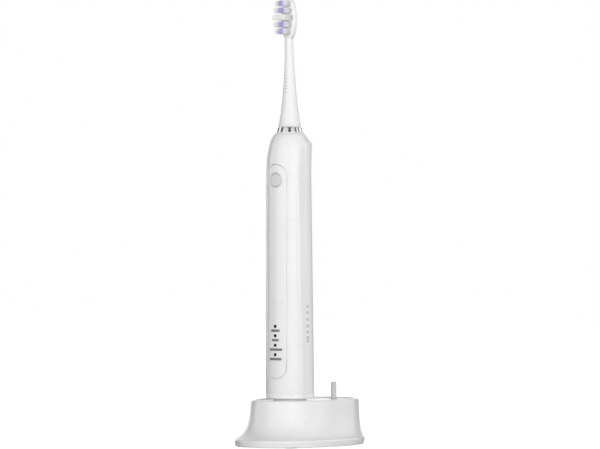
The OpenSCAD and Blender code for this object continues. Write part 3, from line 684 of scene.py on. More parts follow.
low_angles, high_angles = handle_columns(rows_low), handle_columns(rows_high)
low_reach = np.where(
    is_back, back_reach(low_angles, rows_low[:, None], COVER_THICK),
    front_reach(low_angles, rows_low[:, None]))
high_reach = np.where(
    is_back, shoulder_reach(high_angles, rows_high[:, None]),
    front_reach(high_angles, rows_high[:, None]))
outer_z = np.concatenate([rows_low, rows_high])
outer_angles = np.concatenate([low_angles, high_angles])
outer_reach = np.concatenate([low_reach - edge_inset[:, None], high_reach - high_inset[:, None]])

NECK_BORE = 6.2
BORE_LOW, BORE_HIGH, BORE_SHIFT = 11.9, 11.0, -0.5
bore_end = handle_length - 17.8

# The window that carries the pocket and the button's well is cut through the bore as well. It is
# a little shorter there, since the bore ends below the window's top.
BORE_WINDOW_SHARE = 0.98
window_rows = [int(np.argmin(np.abs(outer_z - z))) for z in PANEL_WINDOW]
window_z = outer_z[window_rows[0]:window_rows[1] + 1]
bore_rows = PANEL_WINDOW[0] + (window_z - PANEL_WINDOW[0]) * BORE_WINDOW_SHARE
inner_z = np.concatenate([[handle_length, bore_end, bore_end], bore_rows[::-1], [shell_start]])
inner_angles = handle_columns(inner_z)
in_neck = np.arange(len(inner_z)) < 2
bore_radius = np.interp(inner_z, [shell_start, bore_end], [BORE_LOW, BORE_HIGH])
inner_reach = circle_reach(
    inner_angles, np.where(in_neck, NECK_BORE, bore_radius)[:, None],
    np.where(in_neck, 0.0, BORE_SHIFT)[:, None])
shell_grid = on_handle(
    np.concatenate([outer_angles, inner_angles]), np.concatenate([outer_reach, inner_reach]),
    np.concatenate([outer_z, inner_z])[:, None])
shell_rows, shell_columns = shell_grid.shape[:2]
shell_faces = grid_faces(shell_rows, shell_columns, True, True)

window_columns = [int(np.argmin(np.abs(outer_angles[0] - side * WINDOW_ANGLE))) for side in (-1, 1)]
cell_row, cell_column = np.divmod(np.arange(len(shell_faces)), shell_columns)
bore_row = len(outer_z) + int(np.argmax(inner_z < bore_end))
bore_top = bore_row + window_rows[1]
in_window = (
    ((cell_row >= window_rows[0]) & (cell_row < window_rows[1])
     | (cell_row >= bore_row) & (cell_row < bore_top - window_rows[0]))
    & (cell_column >= window_columns[0]) & (cell_column < window_columns[1]))
frame_cells = window_loop(*window_rows, *window_columns)
frame_angle = outer_angles[frame_cells[:, 0], frame_cells[:, 1]]
frame_z = outer_z[frame_cells[:, 0]]
frame_x = front_radius(frame_z) * np.sin(frame_angle)
pocket_depth = PANEL_THICK + PANEL_INSET + 0.05
ring_points, ring_numbers = [], [frame_cells[:, 0] * shell_columns + frame_cells[:, 1]]
next_number = shell_rows * shell_columns


def pocket_loop(x, z, depth):
    """Points on the handle's front at (x, z), sunk by depth towards the axis."""
    radius = front_radius(z)
    angle = np.arcsin(np.clip(x / radius, -1, 1))
    return on_handle(angle, front_reach(angle, z) - depth, z)


def on_front(x, z, depth):
    """Points on the handle's front seen square on: depth runs straight back along +Y."""
    x, z, depth = np.broadcast_arrays(x, z, depth)
    y = axis_y - np.sqrt(np.maximum(front_radius(z) ** 2 - x ** 2, 0.0)) + depth
    return np.stack([x, y, handle_z + z], -1)


def on_bore(x, z):
    """Points on the front of the handle's bore, a cone whose circle sits a little forward."""
    radius = np.interp(z, [shell_start, bore_end], [BORE_LOW, BORE_HIGH])
    return np.stack([x, axis_y + BORE_SHIFT - np.sqrt(radius ** 2 - x ** 2), handle_z + z], -1)


def well_edge(x, z):
    """Where the ray from the panel's spine through (x, z) leaves the button's round well: the far
    root of a quadratic. Rays that start outside the well stay on the spine, at no reach."""
    spine = np.clip(z, PANEL_LOW + PANEL_HALF, panel_high - PANEL_HALF)
    across, up = x, z - spine
    length = np.maximum(np.hypot(across, up), 1e-9)
    across, up = across / length, up / length
    rise = spine - button_z
    inside = BUTTON_WELL ** 2 - rise ** 2
    far = np.sqrt(np.maximum(inside + (up * rise) ** 2, 0.0)) - up * rise
    reach = np.where(inside > 0, far, 0.0)
    return across * reach, spine + up * reach, reach


joint_x, joint_z = panel_edge(frame_x, frame_z, PANEL_GROOVE + 0.12)
for share in (0.35, 0.65, 0.85, 1.0):
    loop_x = frame_x + (joint_x - frame_x) * share
    loop_z = frame_z + (joint_z - frame_z) * share
    ring_points.append(pocket_loop(loop_x, loop_z, 0.0))
for grow, depth in ((PANEL_GROOVE + 0.04, 0.03), (PANEL_GROOVE, 0.12), (PANEL_GROOVE, pocket_depth)):
    ring_points.append(pocket_loop(*panel_edge(frame_x, frame_z, grow), depth))
well_x, well_z, well_reach = well_edge(frame_x, frame_z)
well_ring = len(ring_points) + 1
ring_points.append(on_front(well_x, well_z, pocket_depth))
bore_cells = bore_top - frame_cells[:, 0]
bore_x = (inner_reach[bore_cells - len(outer_z), frame_cells[:, 1]]) * np.sin(frame_angle)
bore_z = inner_z[bore_cells - len(outer_z)]
for share in (0.0, 0.25, 0.5, 0.75):
    ring_points.append(on_bore(well_x + (bore_x - well_x) * share, well_z + (bore_z - well_z) * share))
for loop in ring_points:
    ring_numbers.append(next_number + np.arange(len(loop)))
    next_number += len(loop)
ring_numbers.append(bore_cells * shell_columns + frame_cells[:, 1])
shell_points = np.concatenate([shell_grid.reshape(-1, 3), *ring_points])
ring_faces = bridge(ring_numbers)
face_loop, face_place = np.divmod(np.arange(len(ring_faces)), len(frame_cells))
shut = (well_reach <= 0) & (np.roll(well_reach, -1) <= 0)
ring_faces = ring_faces[(face_loop != well_ring) | ~shut[face_place]]
shell_faces = outward(shell_grid.reshape(-1, 3), shell_faces)
wall_faces = shell_faces[~in_window]


def agree(first, second):
    """Turns the second set of quads so that an edge it shares with the first runs the other way."""
    edges = np.concatenate([first[:, [k, (k + 1) % 4]] for k in range(4)])
    known = set(map(tuple, edges.tolist()))
    trial = [tuple(pair) for k in range(4) for pair in second[:, [k, (k + 1) % 4]].tolist()]
    clash = sum(pair in known for pair in trial)
    match = sum((pair[1], pair[0]) in known for pair in trial)
    return second if match >= clash else second[:, ::-1]


shell_all = np.concatenate([wall_faces, agree(wall_faces, ring_faces)])
build_piece(
    "handle_casing", [(shell_points, shell_all)], gloss_white, "handle",
    ["handle_shell"], sharp=38)

# ---- rear cover ----
# A satin skin on the back half of the handle, 1.5 mm thick; its top edge stands a little proud
# of the shoulder and its long edges meet the shell at the sides.

satin_white = moulded_plastic("satin_white_plastic", (0.84, 0.84, 0.85), 0.42, 2200, 6e-6, 0.1)
cover_high = box_mm("rear_cover")[1]
COVER_EDGE = 0.22
cover_gap = 0.003


def rounded_slab(t0, t1, edge, count):
    """Places along a width from t0 to t1 and the depth lost at each end to a rounded edge."""
    turn = np.radians(np.linspace(0, 90, 5))
    left = t0 + edge * (1 - np.cos(turn))
    loss = edge * (1 - np.sin(turn))
    inner = np.linspace(t0 + edge, t1 - edge, count)[1:-1]
    places = np.concatenate([left, inner, (t0 + t1) - left[::-1]])
    return places, np.concatenate([loss, np.zeros(count - 2), loss[::-1]])


edge_turn = COVER_EDGE / BACK_HIGH
cover_angle, side_loss = rounded_slab(
    SPLIT_ANGLE + cover_gap, 2 * np.pi - SPLIT_ANGLE - cover_gap, edge_turn, 72)
cover_z, end_loss = rounded_slab(shell_start, cover_high[2] - handle_z, COVER_EDGE, 60)
edge_loss = np.maximum(side_loss[None, :] * BACK_HIGH, end_loss[:, None])
outer_sheet = on_handle(
    cover_angle, back_reach(cover_angle, cover_z[:, None]) - edge_loss, cover_z[:, None])
inner_sheet = on_handle(
    cover_angle, back_reach(cover_angle, cover_z[:, None], COVER_THICK), cover_z[:, None])


def thick_sheet(outer, inner):
    """A closed solid from two sheets of equal grids: both faces, and a wall round their edge."""
    rows, columns = outer.shape[:2]
    count = rows * columns
    face = grid_faces(rows, columns)
    edge = window_loop(0, rows - 1, 0, columns - 1)
    rim = edge[:, 0] * columns + edge[:, 1]
    points = np.concatenate([outer.reshape(-1, 3), inner.reshape(-1, 3)])
    back = face[:, ::-1] + count
    both = np.concatenate([face, back])
    wall = agree(both, bridge([rim, rim + count]))
    faces = np.concatenate([both, wall])
    return points, outward(points, faces)


build_piece(
    "rear_skin", [thick_sheet(outer_sheet, inner_sheet)], satin_white, "handle",
    ["rear_cover"], sharp=40)

mark_ink = moulded_plastic("faint_print_grey", (0.58, 0.58, 0.59), 0.45)
MARK_RADIUS = 1.05
INK_LIFT = 0.012
MARK_ANGLE = math.radians(91.8)
mark_heights = np.array([36.2, 38.2, 41.6, 45.5, 49.6, 53.8, 57.6])
turn_steps = np.linspace(0, 2 * np.pi, 25)[:-1]
mark_shells = []
for middle in mark_heights:
    mark_rings = []
    for share, lift in ((0, -0.1), (1, -0.1), (1, INK_LIFT), (0, INK_LIFT)):
        around_mark = MARK_ANGLE + share * MARK_RADIUS * np.cos(turn_steps) / BACK_HIGH
        up_mark = middle + share * MARK_RADIUS * np.sin(turn_steps)
        mark_rings.append(on_handle(around_mark, back_reach(around_mark, up_mark) + lift, up_mark))
    mark_shells.append(swept(np.stack(mark_rings)))
build_piece("side_marks", mark_shells, mark_ink, "handle")

# ---- front panel, button ring, button and indicators ----
# The inlay is a satin strip bedded in the shell's pocket with a fine joint all round. The round
# button floats in a slim ring, and four dark light guides show the mode; a row of plain ticks
# under each stands for its caption.

bezel_high = box_mm("button_bezel")[1]
lens_low, lens_high = box_mm("indicator_lenses")
bezel_radius = bezel_high[0]
BUTTON_GAP = 0.36
SHEET_HALF = 5.9
LENS_RADIUS = 1.0
LENS_CELL_HALF = 1.69
HOLE_GAP, HOLE_EASE = 0.05, 0.12
lens_heights = np.linspace(lens_low[2] + LENS_RADIUS, lens_high[2] - LENS_RADIUS, 4) - handle_z


def panel_sheet(depth, hole_rims, edge_rims):
    """One face of the panel at a depth: a grid with a round hole for the button ring and for each
    light guide, and a border drawn out to the outline. hole_rims and edge_rims are the last
    loops, as (grow, extra depth). Gives points, quads and the numbers of each open loop."""
    xs = np.linspace(-SHEET_HALF, SHEET_HALF, 15)
    button_span = np.linspace(button_z - SHEET_HALF, button_z + SHEET_HALF - 0.3, 15)
    lens_span = [np.linspace(z - LENS_CELL_HALF, z + LENS_CELL_HALF, 5) for z in lens_heights]
    zs = np.unique(np.round(np.concatenate([
        [PANEL_LOW + 3.2], *lens_span,
        np.linspace(lens_heights[-1] + 4, button_span[0] - 3, 30), button_span]), 4))
    grid_x, grid_z = np.meshgrid(xs, zs)
    rows, columns = grid_x.shape
    flat_x, flat_z, flat_depth = [grid_x.ravel()], [grid_z.ravel()], [np.full(rows * columns, depth)]
    faces = grid_faces(rows, columns)
    cell_row, cell_column = np.divmod(np.arange(len(faces)), columns - 1)
    keep = np.ones(len(faces), bool)
    count = rows * columns
    extra, open_loops = [], []

    def add_loops(start_numbers, rings):
        """Joins rings of points on to an open edge of the sheet, and notes the last one."""
        nonlocal count
        numbers = [start_numbers]
        for x, z, d in rings:
            flat_x.append(x)
            flat_z.append(z)
            flat_depth.append(np.full(len(x), d))
            numbers.append(count + np.arange(len(x)))
            count += len(x)
        extra.append(bridge(numbers))
        open_loops.append(numbers[-1])

    def row_of(z):
        """Number of the grid row nearest to a height."""
        return int(np.argmin(np.abs(zs - z)))

    lens_columns = (5, 9)
    windows = [(row_of(button_span[0]), row_of(button_span[-1]), 0, columns - 1, button_z,
                bezel_radius + HOLE_GAP)]
    windows += [(row_of(s[0]), row_of(s[-1]), *lens_columns, z, LENS_RADIUS + HOLE_GAP)
                for s, z in zip(lens_span, lens_heights)]
    for r0, r1, c0, c1, middle, radius in windows:
        keep &= ~((cell_row >= r0) & (cell_row < r1) & (cell_column >= c0) & (cell_column < c1))
        cells = window_loop(r0, r1, c0, c1)
        x, z = xs[cells[:, 1]], zs[cells[:, 0]]
        length = np.hypot(x, z - middle)
        round_x, round_z = x / length, (z - middle) / length
        eased_x, eased_z = round_x * (radius + HOLE_EASE), middle + round_z * (radius + HOLE_EASE)
        rings = [(x + (eased_x - x) * s, z + (eased_z - z) * s, depth) for s in (0.4, 0.75, 1.0)]
        rings += [(round_x * (radius + g), middle + round_z * (radius + g), depth + d)
                  for g, d in hole_rims]
        add_loops(cells[:, 0] * columns + cells[:, 1], rings)
    cells = window_loop(0, rows - 1, 0, columns - 1)
    x, z = xs[cells[:, 1]], zs[cells[:, 0]]
    edge_x, edge_z = panel_edge(x, z, -0.15)
    rings = [(x + (edge_x - x) * s, z + (edge_z - z) * s, depth) for s in (0.4, 0.75, 1.0)]
    rings += [(*panel_edge(x, z, g), depth + d) for g, d in edge_rims]
    add_loops(cells[:, 0] * columns + cells[:, 1], rings)
    points = on_front(np.concatenate(flat_x), np.concatenate(flat_z), np.concatenate(flat_depth))
    grid = faces[keep]
    quads = np.concatenate([grid] + [agree(grid, ring) for ring in extra])
    return points, quads, open_loops


front_points, front_quads, front_loops = panel_sheet(
    PANEL_INSET, [(0.06, 0.02), (0.02, 0.07), (0.0, 0.15)], [(-0.05, 0.03), (0.0, 0.12)])
back_points, back_quads, back_loops = panel_sheet(PANEL_INSET + PANEL_THICK, [(0.0, 0.0)], [(0.0, 0.0)])
back_quads = back_quads[:, ::-1] + len(front_points)
walls = [
    bridge([a, b + len(front_points)]) for a, b in zip(front_loops, back_loops)]
panel_faces = np.concatenate([front_quads, back_quads])
panel_points = np.concatenate([front_points, back_points])
panel_faces = np.concatenate([panel_faces] + [agree(panel_faces, wall) for wall in walls])
panel_white = moulded_plastic("panel_white_plastic", (0.86, 0.86, 0.868), 0.30, 3000, 3e-6, 0.25)
build_piece(
    "panel_inlay", [(panel_points, outward(panel_points, panel_faces))], panel_white, "handle",
    ["front_panel"], sharp=40)


def front_lathe(profile, middle, sides=72, closed=False):
    """Turns a profile of (radius, depth) about a point of the front, wrapped on its curve."""
    profile = np.asarray(profile, float)
    t = np.linspace(0, 2 * np.pi, sides, endpoint=False)
    points = on_front(profile[:, :1] * np.cos(t), middle + profile[:, :1] * np.sin(t), profile[:, 1:])
    return swept(points, wrap_rows=closed)


ring_in, ring_out = button_radius + BUTTON_GAP, bezel_radius
ring_lip = 0.3
ring_profile = np.concatenate([
    [[ring_in, 1.2]], arc(ring_lip, 180, 270, 6, (ring_in + ring_lip, ring_lip + 0.02)),
    arc(ring_lip, 270, 360, 6, (ring_out - ring_lip, ring_lip + 0.02)), [[ring_out, 1.2]]])
build_piece(
    "button_ring", [front_lathe(ring_profile, button_z, closed=True)], satin_white, "handle",
    ["button_bezel"], sharp=50)

BUTTON_ROUND = 0.45
button_face = moulded_plastic("button_face_plastic", (0.74, 0.74, 0.75), 0.32, 3000, 3e-6, 0.2)
dish = np.linspace(0, button_radius - BUTTON_ROUND - 0.1, 8)
button_profile = np.concatenate([
    np.stack([dish, PANEL_INSET + 0.10 * (1 - (dish / button_radius) ** 2)], -1),
    arc(BUTTON_ROUND, 270, 360, 7, (button_radius - BUTTON_ROUND, PANEL_INSET + BUTTON_ROUND)),
    [[button_radius, 1.9], [1.8, 1.9], [1.8, 2.9], [0, 2.9]],
])
build_piece(
    "round_button", [front_lathe(button_profile, button_z)], button_face, "button",
    ["power_button"], sharp=50)


def tinted_lens(name, colour):
    """Polished dark light guide with a faint smoky depth."""
    material, tree, shader, place = node_material(name)
    vary(tree, shader, add_noise(tree, place, 1400, 3), colour, 1.0, 1.8, (0.18, 0.3), (0.3, 0.75))
    shader.inputs["Specular IOR Level"].default_value = 0.35
    return material


lens_dark = tinted_lens("smoked_lens", (0.012, 0.012, 0.014))
lens_profile = [
    [0, 0.04], [0.5, 0.042], [0.85, 0.05], [0.96, 0.08], [LENS_RADIUS, 0.15], [LENS_RADIUS, 2.2],
    [0, 2.2]]
build_piece(
    "indicator_guides", [front_lathe(lens_profile, z, 40) for z in lens_heights], lens_dark,
    "handle", ["indicator_lenses"], sharp=50)

ink = moulded_plastic("pad_print_grey", (0.045, 0.045, 0.05), 0.5)
CAPTION_DROP = 2.7
CAPTION_HALF_HEIGHT = 0.78
TICK_HALF, TICK_PITCH = 0.25, 0.66
caption_half_widths = (4.2, 4.6, 2.35, 3.0)


def printed_bar(x_low, x_high, z_low, z_high, place):
    """A flat oblong of ink laid on a surface: place(x, z, depth) gives the surface."""
    x = np.linspace(x_low, x_high, 4)
    z = np.linspace(z_low, z_high, 6)[:, None]
    return thick_sheet(place(x + 0 * z, z + 0 * x, -INK_LIFT), place(x + 0 * z, z + 0 * x, 0.05))


def on_panel(x, z, depth):
    """Points on the panel's face."""
    return on_front(x, z, depth + PANEL_INSET)


caption_ticks = []
for half_width, middle in zip(caption_half_widths, lens_heights - CAPTION_DROP):
    count = int(round(2 * half_width / TICK_PITCH)) + 1
    for place_x in np.linspace(-half_width, half_width, count):
        caption_ticks.append(printed_bar(
            place_x - TICK_HALF, place_x + TICK_HALF, middle - CAPTION_HALF_HEIGHT,
            middle + CAPTION_HALF_HEIGHT, on_panel))
build_piece("caption_ticks", caption_ticks, ink, "handle")

# ---- collar ----
# A white seat ring and a bright plated ring fill the gap under the brush head.

seat_low, seat_high = box_mm("seat_ring")
ring_radius = collar_high[0]
SHAFT_CLEAR = 3.15
seat_profile = np.concatenate([
    [[SHAFT_CLEAR, seat_low[2]], [seat_high[0] - 0.1, seat_low[2]]],
    arc(0.3, -60, 60, 7, (seat_high[0] - 0.3, (seat_low[2] + seat_high[2]) / 2)),
    [[seat_high[0] - 0.5, seat_high[2]], [SHAFT_CLEAR, seat_high[2]]],
])
build_piece(
    "white_seat_ring", [lathe(seat_profile, closed=True)], gloss_white, "handle",
    ["seat_ring"])


def plated_metal(name, colour, roughness):
    """Bright plating: a mirror polish with a breath of haze."""
    material, tree, shader, place = node_material(name)
    vary(tree, shader, add_noise(tree, place, 350, 4), colour, 0.94, 1.0,
         (roughness * 0.7, roughness * 1.4))
    shader.inputs["Metallic"].default_value = 1.0
    return material


chrome = plated_metal("bright_chrome", (0.80, 0.81, 0.83), 0.09)
collar_top = box_mm("head_ring")[1][0] + 0.2
collar_profile = np.concatenate([
    [[SHAFT_CLEAR, collar_low[2]], [ring_radius - 0.12, collar_low[2]],
     [ring_radius, collar_low[2] + 0.12]],
    np.stack([np.linspace(ring_radius - 0.02, collar_top + 0.02, 8),
              np.linspace(collar_low[2] + 0.3, collar_high[2] - 0.12, 8)], -1),
    [[collar_top - 0.12, collar_high[2]], [SHAFT_CLEAR, collar_high[2]]],
])
build_piece(
    "plated_collar", [lathe(collar_profile, closed=True)], chrome, "handle",
    ["collar_ring"], sharp=30)

# ---- bottom cap ----
# The cap closes the handle with the same outline, a fine line round it, a thin tongue that meets
# the shell, and the blind well that slips over the charging post.


def cap_reach(angle, z):
    """Outline of the whole handle: the front half, and the rear cover's circle behind it."""
    at_back = np.abs(np.abs(angle) - np.pi) < np.pi - SPLIT_ANGLE
    return np.where(at_back, back_reach(angle, z), front_reach(angle, z))


cap_angles = np.delete(handle_columns(0)[0], [front_count, column_count - 1])
WELL_RADIUS = 4.5
CAP_THICK = 3.0
well_top = 15.6
spigot = 11.7
outline_rows = [
    (0.0, 1.6), (0.0, 1.0), (0.08, 0.45), (0.3, 0.14), (0.6, 0.02), (0.9, 0.0), (1.85, 0.0),
    (1.92, 0.02), (1.98, 0.06), (2.06, 0.06), (2.12, 0.02), (2.19, 0.0), (2.8, 0.0), (2.95, 0.03),
    (CAP_THICK, 0.12), (shell_start, 0.14), (shell_start, 0.6), (CAP_THICK, 0.7)]
mouth_rows = [
    (1e-6, well_top), (WELL_RADIUS - 0.5, well_top), (WELL_RADIUS, well_top - 0.5),
    (WELL_RADIUS, 0.6), (WELL_RADIUS + 0.15, 0.2), (WELL_RADIUS + 0.6, 0.0),
    (WELL_RADIUS + 2.5, 0.0), (WELL_RADIUS + 2.8, 0.15), (WELL_RADIUS + 3.1, 0.0)]
spigot_rows = [
    (spigot, 0), (spigot, 2.2), (spigot - 1.35, 2.2), (spigot - 1.35, 3.8), (spigot, 3.8),
    (spigot, 6), (spigot - 2.3, 6), (spigot - 2.3, 0)]
well_rows = [
    (WELL_RADIUS + 1.1, CAP_THICK), (WELL_RADIUS + 1.1, well_top + 1.1), (1e-6, well_top + 1.1)]


def round_cap_row(radius, z, shift=0.0):
    """A circular ring of the cap, in step with its outline."""
    return on_handle(cap_angles, circle_reach(cap_angles, radius, shift), z)


cap_rows = [round_cap_row(radius, z) for radius, z in mouth_rows]
cap_rows += [on_handle(cap_angles, cap_reach(cap_angles, z) - inset, z) for z, inset in outline_rows]
cap_rows += [round_cap_row(radius, CAP_THICK + rise, BORE_SHIFT) for radius, rise in spigot_rows]
cap_rows += [round_cap_row(radius, z) for radius, z in well_rows]
build_piece(
    "handle_cap", [swept(np.stack(cap_rows))], gloss_white, "handle",
    ["bottom_cap"], sharp=40, weld=1e-7)

# ---- brush head ----
# Neck and tufted end are one moulding: round where it meets the collar, waisted, then a flat oval
# that carries the tufts. A coupling ring closes its foot.

head_high = box_mm("head_body")[1]
ring_low, ring_high = box_mm("head_ring")
white_low, white_high = box_mm("bristles_white")
violet_high = box_mm("bristles_violet")[1]
head_foot = ring_low[2]
head_length = head_high[2] - head_foot
FOOT_R = ring_high[0]
NECK_R = 2.7
HEAD_SIDES = 80
PLATE_HALF, PLATE_LENGTH = 5.6, 26.2
PLATE_FRONT = white_high[1] - axis_y
PLATE_BACK = PLATE_FRONT + 4.5
NECK_LEAN = -0.7
RING_TOP = ring_high[2] - head_foot
plate_middle = head_length - PLATE_LENGTH / 2


def neck_radius(z):
    """Radius of the neck: two falling powers of the way left to its waist, one slow, one quick."""
    v = np.clip(z / (head_length * 0.6), 0, 1)
    return NECK_R + (FOOT_R - NECK_R) * (0.75 * (1 - v) ** 1.35 + 0.25 * (1 - v) ** 6)


def smooth(t):
    """0 to 1 with level ends."""
    t = np.clip(t, 0, 1)
    return t * t * (3 - 2 * t)


def neck_lean(z):
    """How far the neck's middle line leans back, eased in over the middle half of the head."""
    return NECK_LEAN * smooth((z - head_length * 0.25) / (head_length * 0.5))


def head_rings(z, inset):
    """Cross-sections of the head: superellipses whose half width follows the neck and then the
    oval plate, whose front and back faces flatten, and whose corners sharpen in the plate."""
    z = np.asarray(z, float)
    inset = np.asarray(inset, float)
    plate = np.sqrt(np.clip(1 - ((z - plate_middle) / (PLATE_LENGTH / 2)) ** 2, 0, 1)) * PLATE_HALF
    blend = smooth((z - (plate_middle - PLATE_LENGTH / 2 - 2)) / 7)
    neck = neck_radius(z)
    soft = (plate ** 6 + (neck * (1 - 0.55 * blend)) ** 6) ** (1 / 6)
    wide = np.where(z > plate_middle, plate, soft)
    tip = smooth((head_length - z) / 1.6)
    front = -neck * (1 - blend) + PLATE_FRONT * blend
    back = neck * (1 - blend) + PLATE_BACK * blend
    middle = (front + back) / 2 + neck_lean(z) * (1 - blend)
    deep = (back - front) / 2 * np.where(z > plate_middle, 0.55 + 0.45 * tip, 1)
    power = 2 + 1.3 * blend
    t = np.linspace(0, 2 * np.pi, HEAD_SIDES, endpoint=False)
    c, s = np.cos(t), np.sin(t)
    wide, deep, middle, power, z = (v[:, None] for v in (wide - inset, deep - inset, middle, power, z))
    x = np.maximum(wide, 0) * np.sign(c) * np.abs(c) ** (2 / power)
    y = np.maximum(deep, 0) * np.sign(s) * np.abs(s) ** (2 / power)
    return np.stack([x, axis_y + middle + y, head_foot + z + 0 * x], -1)


groove = 3.1
neck_z = np.concatenate([
    [RING_TOP, RING_TOP + 0.08, groove - 0.12, groove - 0.06, groove + 0.06, groove + 0.12],
    np.linspace(groove + 0.3, plate_middle - PLATE_LENGTH / 2 - 3, 44),
    np.linspace(plate_middle - PLATE_LENGTH / 2 - 2, plate_middle, 32),
    plate_middle + PLATE_LENGTH / 2 * np.sin(np.linspace(0, np.pi / 2, 36))[1:],
])
neck_inset = np.zeros(len(neck_z))
neck_inset[:6] = [0.12, 0.0, 0.0, 0.1, 0.1, 0.0]
bore = 2.65


def round_row(radius, z):
    """A ring of the head's bore, in step with the outer rings."""
    t = np.linspace(0, 2 * np.pi, HEAD_SIDES, endpoint=False)
    return np.stack([radius * np.cos(t), axis_y + radius * np.sin(t), head_foot + z + 0 * t], -1)


bore_rows = [round_row(radius, z) for radius, z in (
    (1e-6, 19.0), (1.85, 19.0), (1.85, 14.0), (bore, 14.0), (bore, RING_TOP))]
head_rows = np.concatenate([np.stack(bore_rows), head_rings(neck_z, neck_inset)])
build_piece(
    "head_moulding", [swept(head_rows)], gloss_white, "brush_head", ["head_body"],
    sharp=45, weld=1e-7)


def on_neck(x, z, depth):
    """Points on the front of the neck, z from the head's foot."""
    across = np.sqrt(np.maximum(neck_radius(z) ** 2 - x ** 2, 0))
    return np.stack(np.broadcast_arrays(x, axis_y + neck_lean(z) - across + depth, head_foot + z), -1)


build_piece(
    "neck_marks",
    [printed_bar(-1.15, 1.15, z, z + 0.95, on_neck) for z in 21.2 + 2.1 * np.arange(7)],
    mark_ink, "brush_head")

ring_top_r = neck_radius(RING_TOP)
coupling_profile = np.concatenate([
    [[3.2, ring_low[2]]],
    arc(0.2, -90, 0, 5, (FOOT_R - 0.2, ring_low[2] + 0.2)),
    arc(0.08, 0, 90, 4, (ring_top_r - 0.09, ring_high[2] - 0.09)),
    [[3.2, ring_high[2]]],
])
build_piece(
    "coupling_ring", [lathe(coupling_profile, closed=True)], satin_white, "brush_head",
    ["head_ring"], sharp=50)

# ---- bristles ----
# Round-ended nylon filaments, set in five rows of tufts. The middle row is white; the others are
# white at the root and dyed violet towards the tip, paler towards one side. The white parts grow
# lighter towards the tips and all filaments carry a faint glow: painted light against the shade
# between the filaments.

TUFT_W, TUFT_PITCH = 1.5, 1.85
FILAMENT_R = 0.1
FILAMENT_SPACING = 0.2
TUFT_MARGIN = 0.9
tuft_h = white_high[2] - white_low[2]
row_pitch = (violet_high[2] - white_high[2]) / 2
row_middle = (white_low[2] + white_high[2]) / 2
bristle_length = white_high[1] - white_low[1]
rng = np.random.default_rng(7)


def tuft_filaments(x, z, long):
    """Roots and tips of one tuft: a staggered lattice with a little jitter, splayed, whose crown
    falls with the square of the way from the middle."""
    across = np.arange(-TUFT_W / 2, TUFT_W / 2 + 0.01, FILAMENT_SPACING)
    up = np.arange(-tuft_h / 2, tuft_h / 2 + 0.01, FILAMENT_SPACING * 0.9)
    gx, gz = np.meshgrid(across, up)
    gx = gx + (np.arange(len(up)) % 2)[:, None] * FILAMENT_SPACING / 2
    gx, gz = gx.ravel(), gz.ravel()
    round_corner = np.abs(gx / (TUFT_W / 2 + 0.12)) ** 4 + np.abs(gz / (tuft_h / 2 + 0.12)) ** 4 < 1
    gx, gz = gx[round_corner], gz[round_corner]
    gx = gx + rng.normal(0, 0.02, gx.shape)
    gz = gz + rng.normal(0, 0.02, gz.shape)
    crown = 0.35 * (1 - (gz / (tuft_h / 2)) ** 2) + 0.12 * (1 - (gx / (TUFT_W / 2)) ** 2)
    length = long - 0.45 + crown + rng.normal(0, 0.035, gx.shape)
    splay = 1.06
    lean = rng.normal(0, 0.06, (2, len(gx)))
    root = np.stack([x + gx * 0.94, 0 * gx, z + gz * 0.94], -1)
    tip = np.stack([x + gx * splay + lean[0], -length, z + gz * splay + lean[1]], -1)
    return root, tip


def filament_mesh(roots, tips):
    """Thin round rods from roots to tips, four rings each with a domed end, as whole arrays.
    Gives points, quads, end faces and how far along its rod each point lies."""
    sides = 5
    share = np.array([0.0, 0.45, 0.97, 1.0])
    radius = FILAMENT_R * np.array([1.0, 1.0, 1.25, 0.95])
    t = np.linspace(0, 2 * np.pi, sides, endpoint=False)
    ring = np.stack([np.cos(t), 0 * t, np.sin(t)], -1)
    spine = roots[:, None] + (tips - roots)[:, None] * share[None, :, None]
    bow = (share * (1 - share))[None, :, None] * rng.normal(0, 0.25, (len(roots), 1, 3)) * [1, 0, 1]
    points = (spine + bow)[:, :, None] + radius[None, :, None, None] * ring[None, None]
    count = len(roots)
    base = grid_faces(4, sides, False, True)
    faces = (base[None] + np.arange(count)[:, None, None] * 4 * sides).reshape(-1, 4)
    starts = np.arange(count)[:, None] * 4 * sides
    tops = starts + 3 * sides + np.arange(sides)[::-1]
    feet = starts + np.arange(sides)
    along = np.broadcast_to(share[None, :, None], (count, 4, sides)).ravel()
    return points.reshape(-1, 3), faces, np.concatenate([tops, feet]), along


def bristle_material(name, stops, fade_across=None):
    """Nylon filaments coloured along their length by the piece's own attribute, with a painted glow: a
    faint emission in their own colour lightens them as light would. The dye fades to its second set of
    stops between two places across the head, in metres."""
    material, tree, shader, place = node_material(name)
    along = new_node(tree, "ShaderNodeAttribute", attribute_name="along")
    tint = add_ramp(tree, along.outputs["Fac"], stops)
    # Towards one side across the head the stops fade to paler ones.
    if fade_across:
        pale, start, end = fade_across
        across = new_node(tree, "ShaderNodeSeparateXYZ")
        tree.links.new(place, across.inputs["Vector"])
        share = new_node(
            tree, "ShaderNodeMapRange", {"From Min": start, "From Max": end},
            interpolation_type="SMOOTHSTEP")
        tree.links.new(across.outputs["X"], share.inputs["Value"])
        faded = add_ramp(tree, along.outputs["Fac"], pale)
        tint = add_mix(tree, faded, tint, share=share.outputs["Result"])
    flecks = [(0.3, (0.9, 0.9, 0.9)), (0.7, (1, 1, 1))]
    fleck = add_ramp(tree, add_noise(tree, place, 2500, 2), flecks)
    tint = add_mix(tree, tint, fleck, "MULTIPLY")
    tree.links.new(tint, shader.inputs["Base Color"])
    # Painted glow: an emission in the filaments' own colour lightens them as light would.
    tree.links.new(tint, shader.inputs["Emission Color"])
    shader.inputs["Emission Strength"].default_value = 0.08
    tree.links.new(add_range(tree, add_noise(tree, place, 900, 2), 0.3, 0.5), shader.inputs["Roughness"])
    return material


